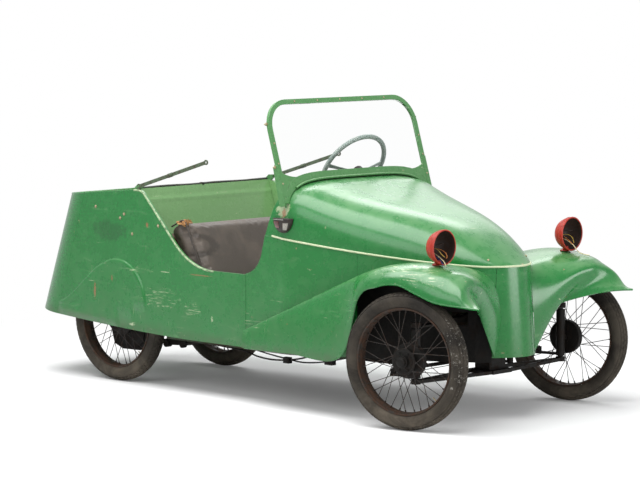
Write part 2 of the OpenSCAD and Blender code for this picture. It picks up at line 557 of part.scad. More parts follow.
// struts for a folding top, held by brackets on the rim
iron_l = 500;
iron_x = x_bulk + 20;
iron_y = side_y(x_bulk) - 3.5;
iron_z = rim_z + 18;
module hood_iron() translate([iron_x, iron_y, iron_z]) rotate([0, -16.5, 0]) difference() {
    union() {
        translate([0, -3, -9]) cube([iron_l, 6, 18]);
        for (x = [0, iron_l]) translate([x, 3, 0]) rotate([90, 0, 0]) cylinder(d = 26, h = 6);
    }
    translate([0, 10, 0]) rotate([90, 0, 0]) cylinder(d = 10.1, h = 20);
    translate([iron_l, 10, 0]) rotate([90, 0, 0]) cylinder(d = 12, h = 20);
}
module hood_iron_left() color("darkgray") hood_iron();
module hood_iron_right() color("darkgray") mirror([0, 1, 0]) hood_iron();
module hood_brackets() color("forestgreen") mirrored() translate([iron_x, iron_y, rim_z]) {
    translate([0, -4, 0]) rotate([90, 0, 0]) linear_extrude(8)
        polygon([[-36, 0.2], [-6, 0.2], [14, 6], [14, 30], [-14, 30], [-36, 12]]);
    translate([0, -5, iron_z - rim_z]) rotate([-90, 0, 0]) cylinder(d = 10, h = 11);
}

chassis_frame();
floor_pan();
nose_panel();
wheel_wells();
scuttle_panel_left();
scuttle_panel_right();
quarter_panel_left();
quarter_panel_right();
tail_panel();
rear_deck();
rear_bulkhead();
bonnet();
fender_left();
fender_right();
windscreen_frame();
windscreen_glass();
dashboard();
firewall();
seat_frame();
seat_cushion();
seat_back();
headlamps();
headlamp_wire_left();
headlamp_wire_right();
side_lamps();
engine_block();
front_axle();
front_spring();
rear_axle();
wheel_front_left();
wheel_front_right();
wheel_rear_left();
wheel_rear_right();
tyre_front_left();
tyre_front_right();
tyre_rear_left();
tyre_rear_right();
knuckle_left();
knuckle_right();
tie_rod();
pitman_arm();
steering_wheel();
steering_box();
hood_iron_left();
hood_iron_right();
hood_brackets();
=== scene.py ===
"""Looks of an open two-seat microcar on wire wheels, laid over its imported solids."""

import json
import math

import bmesh
import bpy
import numpy as np
from bpy.props import FloatProperty, FloatVectorProperty, IntProperty, PointerProperty
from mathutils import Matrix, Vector, noise

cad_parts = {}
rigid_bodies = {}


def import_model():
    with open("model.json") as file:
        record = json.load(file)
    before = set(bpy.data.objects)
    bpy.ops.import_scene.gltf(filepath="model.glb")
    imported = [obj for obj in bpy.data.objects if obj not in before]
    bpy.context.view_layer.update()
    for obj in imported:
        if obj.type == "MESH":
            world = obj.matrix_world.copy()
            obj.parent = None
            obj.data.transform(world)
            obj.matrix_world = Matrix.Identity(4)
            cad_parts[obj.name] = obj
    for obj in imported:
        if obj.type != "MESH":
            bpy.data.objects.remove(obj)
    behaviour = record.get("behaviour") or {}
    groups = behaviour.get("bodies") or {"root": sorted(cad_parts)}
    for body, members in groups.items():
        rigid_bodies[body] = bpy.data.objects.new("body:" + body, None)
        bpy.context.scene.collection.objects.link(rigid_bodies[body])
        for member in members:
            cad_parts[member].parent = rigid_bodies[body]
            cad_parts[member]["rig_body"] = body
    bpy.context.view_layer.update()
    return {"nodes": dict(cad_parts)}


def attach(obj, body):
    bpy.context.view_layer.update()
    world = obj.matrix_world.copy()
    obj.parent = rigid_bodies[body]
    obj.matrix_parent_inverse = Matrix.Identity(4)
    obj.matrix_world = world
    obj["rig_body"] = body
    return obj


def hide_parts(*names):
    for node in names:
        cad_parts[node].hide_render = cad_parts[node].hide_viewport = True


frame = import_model()

bl_info = {
    "name": "Open Microcar",
    "version": (1, 0, 0),
    "blender": (4, 5, 0),
    "location": "View3D > Sidebar > Microcar",
    "description": "Dresses the packed solids of an open microcar with worn paint, rubber, wire and cloth",
    "category": "Object",
}

# Sizes and angles as the part's source gives them, in millimetres and degrees; the shapes use the same units
FRONT_AXLE, REAR_AXLE = 1200.0, -960.0
TAIL, COWL, BULKHEAD, SEAM, WELL, NOSE = -1620.0, 350.0, -720.0, 90.0, 745.0, 1340.0
NOSE_TOP, NOSE_FOOT, NOSE_LOW = 1390.0, 1425.0, 300.0
COWL_HALF, TAIL_HALF, TAIL_ROUND, TAIL_LEAN = 540.0, 465.0, 280.0, 230.0
TAIL_CORNER = TAIL + TAIL_ROUND
TAPER = math.atan((COWL_HALF - TAIL_HALF) / (COWL - TAIL_CORNER))
SILL, TAIL_EDGE, RIM, RIM_DROP, CUT_LOW = 275.0, 345.0, 1008.0, 58.0, 634.0
BEAD, BEAD_RISE, CROWN, SHEET, WALL, LINE = 728.0, 105.0, 256.0, 8.0, 16.0, 0.6
WHEEL_R, TYRE_W, RIM_D, RIM_W = 320.0, 82.0, 500.0, 66.0
DRUM_D, FLANGE_D, SPOKES = 165.0, 122.0, 36
KINGPIN_Y, KINGPIN_OFFSET, PARKED = 545.0, 85.0, 10.4
REAR_TRACK = 764.0
LAMP = np.array([1318.0, 481.0, 842.0])
LAMP_R, LAMP_BARREL, LAMP_FOOT = 79.0, 10.0, 83.2
HELM = np.array([95.0, 250.0, 1124.0])
COLUMN_END = np.array([1070.0, 150.0, 480.0])
SCREEN_X, SCREEN_Z, SCREEN_LEAN = 364.0, 1003.0, 16.6
SCREEN_W, SCREEN_TOP = 1092.0, 1488.0
SEAT_X, FLOOR_TOP, SEAT_LEAN, BULKHEAD_LEAN = -250.0, 297.0, 26.0, 17.0
STRUT_LIFT = 16.5

MM = 0.001
SIDES = ((False, "left"), (True, "right"))
LINED = (0, 1, 0)  # finishes of a sheet whose inside has one of its own
MERGE = 2e-5  # metres within which the points of a copied solid are one

CAMERA_AT = (9.61, -10.356, 2.052)
CAMERA_TO = (0.097, 0.0, 0.769)
CAMERA_LENS, CAMERA_SENSOR = 158.28, 36.0


class MicrocarPaint(bpy.types.PropertyGroup):
    """Colours of the finishes"""

    green: FloatVectorProperty(name="Body green", description="Paint of the body panels", subtype="COLOR",
                               size=3, min=0, max=1, default=(0.0045, 0.158, 0.026))
    faded: FloatVectorProperty(name="Faded green", description="Chalky paint on the tops", subtype="COLOR",
                               size=3, min=0, max=1, default=(0.19, 0.37, 0.17))
    cream: FloatVectorProperty(name="Bare edge", description="Rubbed edges and the bonnet line",
                               subtype="COLOR", size=3, min=0, max=1, default=(0.56, 0.62, 0.40))
    primer: FloatVectorProperty(name="Primer red", description="Primer that shows in the chips",
                                subtype="COLOR", size=3, min=0, max=1, default=(0.36, 0.095, 0.05))
    lamp_red: FloatVectorProperty(name="Lamp red", description="Outside of the headlamp shells",
                                  subtype="COLOR", size=3, min=0, max=1, default=(0.38, 0.024, 0.011))
    cover: FloatVectorProperty(name="Seat cover", description="Leathercloth of the seat", subtype="COLOR",
                               size=3, min=0, max=1, default=(0.078, 0.062, 0.05))


class MicrocarSizes(bpy.types.PropertyGroup):
    """Sizes of the dressed pieces"""

    bead_radius: FloatProperty(name="Bead radius", description="Half the width of the raised bonnet line",
                               unit="LENGTH", default=0.005, min=0.001, max=0.01)
    edge_radius: FloatProperty(name="Edge radius", description="Rolled edge of the cut-out and the rim",
                               unit="LENGTH", default=0.0052, min=0.002, max=0.012)
    swage_height: FloatProperty(name="Swage height", description="Rise of the pressed arch on the rear sides",
                                unit="LENGTH", default=0.0085, min=0, max=0.012)
    spoke_radius: FloatProperty(name="Spoke radius", description="Half the thickness of a wire spoke",
                                unit="LENGTH", default=0.0017, min=0.001, max=0.003)
    tread_blocks: IntProperty(name="Tread blocks", description="Blocks in one row round a tyre",
                              default=74, min=20, max=140)
    tread_depth: FloatProperty(name="Tread depth", description="Depth of the worn tread", unit="LENGTH",
                               default=0.0026, min=0.0005, max=0.006)
    stud_radius: FloatProperty(name="Stud radius", description="Half the width of a press stud",
                               unit="LENGTH", default=0.0062, min=0.002, max=0.012)
    pressure: FloatProperty(name="Seat pressure", description="How firmly the seat is stuffed", default=4.0,
                            min=0, max=12)
    puff: FloatProperty(name="Seat swell", description="Furthest that the seat cover may swell",
                        unit="LENGTH", default=0.016, min=0, max=0.03)


# Body lines

def lerp(a, b, t):
    return a + (b - a) * t


def clamp(v, a, b):
    return max(a, min(b, v))


def steps(a, b, n):
    return [lerp(a, b, i / n) for i in range(n + 1)]


def ease(t):
    t = clamp(t, 0, 1)
    return t * t * (3 - 2 * t)


def cosd(degrees):
    return math.cos(math.radians(degrees))


def sind(degrees):
    return math.sin(math.radians(degrees))


def unit(v):
    v = np.asarray(v, float)
    return v / max(np.linalg.norm(v), 1e-9)


def bend(points, t):
    """Point of a smooth curve through a row of points, t from 0 to 1."""
    p = np.asarray(points, float)
    n = len(p) - 1
    s = clamp(t * n, 0, n - 1e-6)
    i = int(s)
    f = s - i
    a, b, c, d = p[max(i - 1, 0)], p[i], p[i + 1], p[min(i + 2, n)]
    return 0.5 * (2 * b + (c - a) * f + (2 * a - 5 * b + 4 * c - d) * f ** 2
                  + (3 * b - a - 3 * c + d) * f ** 3)


def bow(x, tip):
    """Half width of the rounded nose whose foremost point is tip."""
    s = clamp((x - COWL) / (tip - COWL), 0, 1)
    return COWL_HALF * math.sqrt(max(0, 1 - s ** 1.15))


def side_y(x):
    """Half width of the flat sides, which draw in towards the tail."""
    return COWL_HALF - (COWL - x) * math.tan(TAPER)


def body_y(x, z):
    """Half width of the body at a height."""
    return side_y(x) if x < COWL else bow(x, lerp(NOSE_FOOT, NOSE_TOP, (z - NOSE_LOW) / (BEAD - NOSE_LOW)))


def bead(x):
    """Height of the raised line between the sides and the bonnet."""
    return BEAD + BEAD_RISE * clamp((FRONT_AXLE + 100 - x) / 1000, 0, 1.2) ** 1.2


def sill(x):
    """Height of the body's lower edge."""
    start = BULKHEAD + 420
    return SILL + (TAIL_EDGE - SILL) * clamp((start - x) / (start - TAIL), 0, 1) ** 1.5


def rim(x):
    """Height of the body's upper edge behind the cockpit."""
    return RIM - RIM_DROP * clamp((BULKHEAD - x) / (BULKHEAD - TAIL - TAIL_LEAN), 0, 1)


def cut_front(x):
    """Front flank of the cockpit cutaway."""
    r, d, slope = 145, x - (COWL - 288), 75
    reach = r * sind(slope)
    if d < 0:
        return CUT_LOW
    if d < reach:
        return CUT_LOW + r - math.sqrt(r * r - d * d)
    return CUT_LOW + r * (1 - cosd(slope)) + (d - reach) * math.tan(math.radians(slope))


def fillet(a, b, c, r, n):
    """Points of a corner rounded with radius r."""
    a, b, c = (np.asarray(p, float) for p in (a, b, c))
    u, v = unit(a - b), unit(c - b)
    h = math.acos(clamp(float(u @ v), -1, 1)) / 2
    q = b + unit(u + v) * r / math.sin(h)
    s, e = b + u * r / math.tan(h) - q, b + v * r / math.tan(h) - q
    a0, a1 = math.atan2(s[1], s[0]), math.atan2(e[1], e[0])
    w = (a1 - a0 + math.pi) % (2 * math.pi) - math.pi
    return [q + r * np.array([math.cos(a0 + w * i / n), math.sin(a0 + w * i / n)]) for i in range(n + 1)]


def cut_rear():
    """Rear flank of the cockpit cutaway as [x, z], from the seam up to the rim."""
    b, a = (BULKHEAD + 408, CUT_LOW), (BULKHEAD + 42, RIM)
    return (fillet((SEAM - LINE, CUT_LOW), b, a, 400, 24) + fillet(b, a, (BULKHEAD - 20, RIM), 60, 10)
            + [np.array([BULKHEAD - 18, RIM])])


def dome(k, q, d):
    """Point of the bonnet: k along it, q round its arch in degrees, d below its face."""
    s = clamp(k, 0, 1)
    tip, start = NOSE_TOP - d, COWL - 120
    xs = lerp(start, tip, 1 - (1 - s) ** 2)
    b = clamp((xs - COWL) / (NOSE_TOP - COWL), 0, 1)
    w = (side_y(xs) if xs < COWL else bow(xs, NOSE_TOP)) - d * (1 - 0.6 * s)
    height = CROWN * max(0, 1 - b ** 4.2) ** 1.3 * (1 - 0.6 * b * (1 - b))
    rise = max(0.5, height - d) * max(0.0, sind(q)) ** lerp(0.5, 1.3, b)
    c = cosd(q)
    y = w * abs(c) ** lerp(0.43, 0.78, b)
    return (xs + rise * 0.37 * (1 - s) ** 3, -y if c < 0 else y, bead(xs) + rise)


FENDER_TOP = [(150, 0, 305), (162, 0, 450), (150, 0, 590), (110, 0, 690), (20, 0, 728), (-130, 0, 738),
              (-280, 0, 700), (-420, 0, 640), (-760, 0, 503), (-1104, 0, 362)]
FENDER_CROWN = [(174, -240, 520), (264, -105, 657), (235, -55, 708), (150, -20, 742), (20, -15, 762),
                (-130, -10, 752), (-280, 5, 712), (-430, 16, 650), (-760, 20, 507), (-1104, 8, 364)]
FENDER_LIP = [(409, 38, 587), (330, 72, 592), (200, 105, 604), (90, 115, 638), (-20, 120, 672),
              (-150, 116, 655), (-275, 106, 592), (-405, 90, 301), (-760, 60, 287), (-1104, 26, 279)]

FENDER_CREST = 0.4  # share of the section from the body out to the crown
FENDER_NOSE = 0.13  # share of the length over which the section rounds out
FENDER_SWELL, FENDER_TIP = 16.0, 26.0


def fender_seat(x, z):
    """Half width at which a fender sits clear of the body."""
    return body_y(x, z) + 2 * LINE + 6 * math.exp(-((x - COWL) / 70) ** 2)


def fender_at(t, v):
    """Point of the left fender: t from its front edge back, v from the body out to its lip."""
    m = np.array([0, COWL_HALF, 0])
    i, c, l = bend(FENDER_TOP, t), bend(FENDER_CROWN, t) + m, bend(FENDER_LIP, t) + m
    o = np.array([i[0], fender_seat(FRONT_AXLE + i[0], i[2]), i[2]])
    f = ease(t / FENDER_NOSE)
    swell = FENDER_SWELL * math.sin(math.pi * clamp(t * 3, 0, 1)) * math.sin(math.pi * v)
    if v < FENDER_CREST:
        w = v / FENDER_CREST
        q = lerp(o, c, w)
        q[2] += (c[2] - o[2]) * (sind(w * 90) - w) * f
    else:
        w = (v - FENDER_CREST) / (1 - FENDER_CREST)
        a, b = sind(w * 90), cosd(w * 90)
        q = np.array([lerp(c[0], l[0], w), lerp(c[1], l[1], lerp(w, a, f)),
                      lerp(lerp(c[2], l[2], a), lerp(l[2], c[2], b), f)])
    tip = FENDER_TIP * ease(t / 0.03) * math.exp(-((t - 0.07) / 0.07) ** 2)
    tip *= math.sin(math.pi * clamp((v - 0.45) / 0.55, 0, 1))
    return np.array([FRONT_AXLE + q[0] + swell * 0.3, q[1], q[2] + swell + tip])


def tail_plan(lift, d, n=36):
    """Rounded tail from above, moved forward by lift and d inside the face."""
    x0 = TAIL_CORNER + lift
    w, r = side_y(x0), TAIL_ROUND - d
    arc = []
    for i in range(n + 1):
        q = math.pi / 2 + TAPER + (math.pi / 2 - TAPER) * i / n
        arc.append((x0 + r * math.cos(q), w - TAIL_ROUND + r * math.sin(q)))
    return arc + [(x, -y) for x, y in reversed(arc)]


# Shapes

def grid_faces(m, n, wrap=False):
    cols = n if wrap else n - 1
    return [(i * n + j, i * n + (j + 1) % n, (i + 1) * n + (j + 1) % n, (i + 1) * n + j)
            for i in range(m - 1) for j in range(cols)]


def bar_faces(m, n):
    """Faces of m closed rows of n points, with both ends capped."""
    return grid_faces(m, n, True) + [tuple(reversed(range(n))), tuple((m - 1) * n + i for i in range(n))]


def grid_normals(g):
    """Unit normals of a grid of points."""
    n = np.cross(np.gradient(g, axis=0), np.gradient(g, axis=1))
    return n / np.maximum(np.linalg.norm(n, axis=2, keepdims=True), 1e-9)


class Shell:
    """Points and faces of one piece, gathered in millimetres."""

    def __init__(self):
        self.points, self.faces, self.finish = [], [], []

    def add(self, points, faces, finish=0, place=None, mirror=False):
        p = np.asarray(points, float).reshape(-1, 3)
        if place is not None:
            p = p @ place[:3, :3].T + place[:3, 3]
        if mirror:
            p = p * np.array([1, -1, 1])
        base = len(self.points)
        self.points.extend(p.tolist())
        self.faces.extend(tuple(base + i for i in f) for f in faces)
        self.finish.extend([finish] * len(faces))
        return self

    def sheet(self, outer, inner, finish=(0, 0, 0), mirror=False):
        """Solid between two grids; the finishes are those of the outside, the inside and the edge."""
        a, b = np.asarray(outer, float), np.asarray(inner, float)
        m, n = a.shape[:2]
        k = m * n
        pts = np.concatenate([a.reshape(-1, 3), b.reshape(-1, 3)])
        out = grid_faces(m, n)
        edge = []
        for i in range(m - 1):
            edge.append((i * n, (i + 1) * n, k + (i + 1) * n, k + i * n))
            edge.append(((i + 1) * n + n - 1, i * n + n - 1, k + i * n + n - 1, k + (i + 1) * n + n - 1))
        for j in range(n - 1):
            edge.append((j + 1, j, k + j, k + j + 1))
            edge.append(((m - 1) * n + j, (m - 1) * n + j + 1, k + (m - 1) * n + j + 1, k + (m - 1) * n + j))
        back = [tuple(k + i for i in reversed(f)) for f in out]
        base = len(self.points)
        self.add(pts, out, finish[0], mirror=mirror)
        for faces, look in ((back, finish[1]), (edge, finish[2])):
            self.faces.extend(tuple(base + i for i in f) for f in faces)
            self.finish.extend([look] * len(faces))
        return self

    def lathe(self, profile, n, finish=0, place=None, mirror=False):
        """Closed outline of (radius, height) turned round the upright axis; a zero radius is a pole."""
        rows, pts = [], []
        for r, h in profile:
            if r < 1e-6:
                rows.append([len(pts)] * n)
                pts.append((0, 0, h))
            else:
                rows.append(list(range(len(pts), len(pts) + n)))
                pts += [(r * math.cos(2 * math.pi * i / n), r * math.sin(2 * math.pi * i / n), h)
                        for i in range(n)]
        closed = profile[0][0] > 1e-6
        pairs = list(zip(rows, rows[1:])) + ([(rows[-1], rows[0])] if closed else [])
        faces = []
        for a, b in pairs:
            for i in range(n):
                j = (i + 1) % n
                f = list(dict.fromkeys((a[i], a[j], b[j], b[i])))
                if len(f) > 2:
                    faces.append(tuple(f))
        return self.add(pts, faces, finish, place, mirror)

    def tube(self, path, radius, n=8, finish=0, place=None, mirror=False, flat=1.0):
        """Round bar along a path, closed at both ends; radius may be one number or one a point."""
        p = np.asarray(path, float)
        r = np.broadcast_to(np.asarray(radius, float), (len(p),))
        along = np.gradient(p, axis=0)
        along /= np.maximum(np.linalg.norm(along, axis=1, keepdims=True), 1e-9)
        u = np.cross(along[0], (0.31, 0.27, 0.91))
        if np.linalg.norm(u) < 1e-3:
            u = np.cross(along[0], (1, 0, 0))
        pts = []
        for c, d, s in zip(p, along, r):
            u = unit(u - d * (u @ d))
            w = np.cross(d, u)
            pts += [c + s * (u * math.cos(2 * math.pi * i / n) + flat * w * math.sin(2 * math.pi * i / n))
                    for i in range(n)]
        return self.add(pts, bar_faces(len(p), n), finish, place, mirror)

    def block(self, low, high, finish=0, place=None, mirror=False):
        (x0, y0, z0), (x1, y1, z1) = low, high
        pts = [(x, y, z) for z in (z0, z1) for x, y in ((x0, y0), (x1, y0), (x1, y1), (x0, y1))]
        faces = [(3, 2, 1, 0), (4, 5, 6, 7), (0, 1, 5, 4), (1, 2, 6, 5), (2, 3, 7, 6), (3, 0, 4, 7)]
        return self.add(pts, faces, finish, place, mirror)

    def piece(self, name, finishes, body, slot, stands_for=(), sharp=38, round_off=0.0):
        """The gathered shape as an object in metres that rides on its body."""
        mesh = bpy.data.meshes.new(name)
        mesh.from_pydata([tuple(c * MM for c in p) for p in self.points], [], self.faces)
        for finish in finishes:
            mesh.materials.append(FINISH[finish])
        mesh.polygons.foreach_set("material_index", self.finish)
        return settle(mesh, name, body, stands_for, sharp, round_off)

    def panel(self, name, finishes, stands_for=(), **how):
        """A painted piece of the body itself."""
        return self.piece(name, finishes, "car_body", "green_paint", stands_for, **how)


def placed(name, data):
    """New object in the scene."""
    obj = bpy.data.objects.new(name, data)
    bpy.context.scene.collection.objects.link(obj)
    return obj


def settle(mesh, name, body, stands_for=(), sharp=38, round_off=0.0):
    """Turns the faces outwards, shades the mesh and hangs its object on a body."""
    bm = bmesh.new()
    bm.from_mesh(mesh)
    bmesh.ops.recalc_face_normals(bm, faces=bm.faces)
    bm.to_mesh(mesh)
    bm.free()
    mesh.shade_smooth()
    mesh.set_sharp_from_angle(angle=math.radians(sharp))
    obj = placed(name, mesh)
    if round_off:
        soft = obj.modifiers.new("round_off", "BEVEL")
        soft.width = round_off
        soft.segments = 2
        soft.limit_method = "ANGLE"
        soft.angle_limit = math.radians(sharp)
        soft.harden_normals = True
    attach(obj, body)
    if stands_for:
        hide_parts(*stands_for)
    return obj


def dressed(node, finish, name, round_off=0.0):
    """Copy of a CAD node with merged points and softened edges, standing for the node."""
    source = frame["nodes"][node]
    mesh = source.data.copy()
    mesh.materials.clear()
    mesh.materials.append(FINISH[finish])
    bm = bmesh.new()
    bm.from_mesh(mesh)
    bmesh.ops.remove_doubles(bm, verts=bm.verts, dist=MERGE)
    bmesh.ops.dissolve_limit(bm, angle_limit=math.radians(0.6), verts=bm.verts, edges=bm.edges)
    for face in bm.faces:
        face.material_index = 0
    bm.to_mesh(mesh)
    bm.free()
    return settle(mesh, name, source["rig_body"], (node,), 32, round_off)


def turn(axis, degrees):
    """4x4 turn about X, Y or Z."""
    c, s = cosd(degrees), sind(degrees)
    i, j = {"X": (1, 2), "Y": (2, 0), "Z": (0, 1)}[axis]
    m = np.eye(4)
    m[i, i], m[j, j], m[i, j], m[j, i] = c, c, -s, s
    return m


def move(x, y, z):
    m = np.eye(4)
    m[:3, 3] = (x, y, z)
    return m


# Node trees

def node(tree, kind, sockets=None, **settings):
    n = tree.nodes.new(kind)
    for key, value in settings.items():
        setattr(n, key, value)
    for key, value in (sockets or {}).items():
        if isinstance(value, bpy.types.NodeSocket):
            tree.links.new(value, n.inputs[key])
        else:
            n.inputs[key].default_value = value
    return n


def calc(tree, operation, a, b=0.0, clamped=False):
    return node(tree, "ShaderNodeMath", {0: a, 1: b}, operation=operation, use_clamp=clamped).outputs[0]


def times(tree, a, b, clamped=False):
    return calc(tree, "MULTIPLY", a, b, clamped)


def plus(tree, a, b, clamped=False):
    return calc(tree, "ADD", a, b, clamped)


def less(tree, a, b):
    return calc(tree, "SUBTRACT", a, b)


def most(tree, a, b):
    return calc(tree, "MAXIMUM", a, b)


def here(tree):
    """Place of a point, in the piece's own coordinates."""
    return tree.nodes.new("ShaderNodeTexCoord").outputs["Object"]


def blend_colour(tree, factor, a, b, kind="MIX"):
    def full(c):
        return c if isinstance(c, bpy.types.NodeSocket) or len(c) == 4 else (*c, 1)
    return node(tree, "ShaderNodeMix", {0: factor, 6: full(a), 7: full(b)}, data_type="RGBA",
                blend_type=kind).outputs[2]


def span(tree, value, low, high, to_low=0.0, to_high=1.0):
    return node(tree, "ShaderNodeMapRange", {0: value, 1: low, 2: high, 3: to_low, 4: to_high},
                interpolation_type="SMOOTHSTEP").outputs[0]


def speckle(tree, where, scale, detail=4.0, rough=0.6, distortion=0.0):
    return node(tree, "ShaderNodeTexNoise", {"Vector": where, "Scale": scale, "Detail": detail,
                                             "Roughness": rough, "Distortion": distortion}).outputs[0]


def stretched(tree, where, scale, angle=(0, 0, 0)):
    return node(tree, "ShaderNodeMapping", {"Vector": where, "Scale": scale, "Rotation": angle}).outputs[0]


def show(tree, share, first, second):
    """Sends a mix of two shaders to the tree's output."""
    mix = node(tree, "ShaderNodeMixShader", {0: share, 1: first.outputs[0], 2: second.outputs[0]})
    out = next(n for n in tree.nodes if n.type in ("OUTPUT_MATERIAL", "OUTPUT_WORLD"))
    tree.links.new(mix.outputs[0], out.inputs[0])


def group_tree(name, inputs, outputs):
    """Empty shader group with its named sockets, and its two end nodes."""
    tree = bpy.data.node_groups.new(name, "ShaderNodeTree")
    for label, kind, value in inputs:
        socket = tree.interface.new_socket(label, in_out="INPUT", socket_type=kind)
        socket.default_value = value
    for label, kind in outputs:
        tree.interface.new_socket(label, in_out="OUTPUT", socket_type=kind)
    return tree, tree.nodes.new("NodeGroupInput").outputs, tree.nodes.new("NodeGroupOutput").inputs


COLOUR, FLOAT, VECTOR = "NodeSocketColor", "NodeSocketFloat", "NodeSocketVector"


def weathered_paint_group():
    """Old brushed paint: tone, chalky tops, scratches, chips down to primer, dirt near the ground."""
    tree, put, out = group_tree("weathered_paint", [
        ("Paint", COLOUR, (0.02, 0.18, 0.05, 1)), ("Faded", COLOUR, (0.2, 0.4, 0.2, 1)),
        ("Bare", COLOUR, (0.5, 0.55, 0.4, 1)), ("Primer", COLOUR, (0.35, 0.1, 0.05, 1)),
        ("Fade", FLOAT, 0.5), ("Chips", FLOAT, 0.5), ("Scratches", FLOAT, 0.5), ("Dirt", FLOAT, 0.5)],
        [("Color", COLOUR), ("Roughness", FLOAT), ("Height", FLOAT)])
    place = tree.nodes.new("ShaderNodeTexCoord")
    at = place.outputs["Object"]
    up = node(tree, "ShaderNodeSeparateXYZ", {0: place.outputs["Normal"]}).outputs[2]
    along, _, height = node(tree, "ShaderNodeSeparateXYZ", {0: at}).outputs
    broad = speckle(tree, at, 1.7, 5, 0.6, 0.4)
    mottle = speckle(tree, at, 13.0, 7, 0.68)
    fine = speckle(tree, at, 70.0, 5, 0.65)
    tone = blend_colour(tree, span(tree, broad, 0.35, 0.68, 0.0, 0.3), put["Paint"],
                        blend_colour(tree, 0.72, put["Paint"], put["Faded"], "OVERLAY"))
    tone = blend_colour(tree, span(tree, mottle, 0.45, 0.72, 0.0, 0.08), tone, put["Faded"])
    chalk = times(tree, span(tree, up, 0.35, 0.97), span(tree, mottle, 0.3, 0.62, 0.35, 1.0))
    chalk = times(tree, chalk, put["Fade"], True)
    tone = blend_colour(tree, chalk, tone, put["Faded"])
    smear = speckle(tree, stretched(tree, at, (5, 5, 22), (0.2, 0.1, 0.4)), 1.6, 4, 0.55, 0.8)
    smear = times(tree, span(tree, smear, 0.6, 0.78), put["Scratches"])
    tone = blend_colour(tree, times(tree, smear, 0.35), tone, put["Faded"])
    flat_marks = speckle(tree, stretched(tree, at, (7, 7, 260), (0.05, 0.12, 0.3)), 1.0, 3, 0.5)
    lean_marks = speckle(tree, stretched(tree, at, (240, 30, 9), (0.3, 0.7, 0.1)), 1.0, 3, 0.5)
    rare = speckle(tree, at, 4.3, 3, 0.5)
    marks = most(tree, span(tree, flat_marks, 0.70, 0.74), span(tree, lean_marks, 0.71, 0.75))
    marks = times(tree, marks, span(tree, rare, 0.5, 0.62))
    marks = times(tree, marks, put["Scratches"], True)
    tone = blend_colour(tree, marks, tone, put["Bare"])
    pits = speckle(tree, at, 46.0, 5, 0.55, 0.3)
    where = speckle(tree, at, 6.1, 4, 0.6)
    chips = times(tree, span(tree, pits, 0.69, 0.71), span(tree, where, 0.5, 0.6))
    chips = times(tree, chips, put["Chips"], True)
    under = blend_colour(tree, span(tree, fine, 0.4, 0.6), put["Primer"], put["Bare"])
    tone = blend_colour(tree, chips, tone, under)
    low = times(tree, span(tree, height, 0.62, 0.27), span(tree, mottle, 0.35, 0.75, 0.1, 0.9))
    low = times(tree, low, put["Dirt"], True)
    tone = blend_colour(tree, low, tone, (0.045, 0.04, 0.022))
    back = calc(tree, "DIVIDE", less(tree, -0.3, along), 1.32, True)
    lift = times(tree, calc(tree, "POWER", back, 1.5), (TAIL_EDGE - SILL) * MM)
    above = less(tree, less(tree, height, SILL * MM), lift)
    edge = times(tree, span(tree, above, 0.06, 0.0), span(tree, mottle, 0.3, 0.7, 0.25, 1.0))
    edge = times(tree, edge, times(tree, put["Dirt"], 2.2), True)
    tone = blend_colour(tree, edge, tone, (0.05, 0.04, 0.022))
    tree.links.new(tone, out["Color"])
    rough = plus(tree, span(tree, mottle, 0.3, 0.75, 0.24, 0.32), times(tree, chalk, 0.06))
    rough = plus(tree, rough, times(tree, most(tree, chips, low), 0.3), True)
    tree.links.new(rough, out["Roughness"])
    waves = times(tree, speckle(tree, at, 1.9, 2, 0.45, 0.3), 0.9)
    level = less(tree, waves, times(tree, chips, 0.35))
    tree.links.new(plus(tree, level, times(tree, fine, 0.012)), out["Height"])
    return tree


def patch_group():
    """Ragged patch round a point, one at its middle and nought outside."""
    tree, put, out = group_tree("ragged_patch", [
        ("Centre", VECTOR, (0, 0, 0)), ("Stretch", VECTOR, (1, 1, 1)), ("Radius", FLOAT, 0.05),
        ("Ragged", FLOAT, 0.6), ("Grain", FLOAT, 60.0), ("Lines", FLOAT, 0.0)], [("Mask", FLOAT)])
    at = here(tree)
    away = node(tree, "ShaderNodeVectorMath", {0: at, 1: put["Centre"]}, operation="SUBTRACT").outputs[0]
    away = node(tree, "ShaderNodeVectorMath", {0: away, 1: put["Stretch"]}, operation="MULTIPLY").outputs[0]
    far = node(tree, "ShaderNodeVectorMath", {0: away}, operation="LENGTH").outputs["Value"]
    share = calc(tree, "DIVIDE", far, put["Radius"])
    rag = times(tree, less(tree, speckle(tree, at, put["Grain"], 5, 0.7), 0.5),
               times(tree, put["Ragged"], 4.0))
    mask = span(tree, plus(tree, share, rag), 1.0, 0.7)
    mask = times(tree, mask, span(tree, share, 1.9, 1.2))
    streaks = speckle(tree, stretched(tree, at, (14, 30, 260), (0.04, 0.09, 0.0)), 1.0, 4, 0.6)
    thin = span(tree, streaks, 0.55, 0.64)
    thin = most(tree, thin, less(tree, 1.0, put["Lines"]))
    tree.links.new(times(tree, mask, thin), out["Mask"])
    return tree


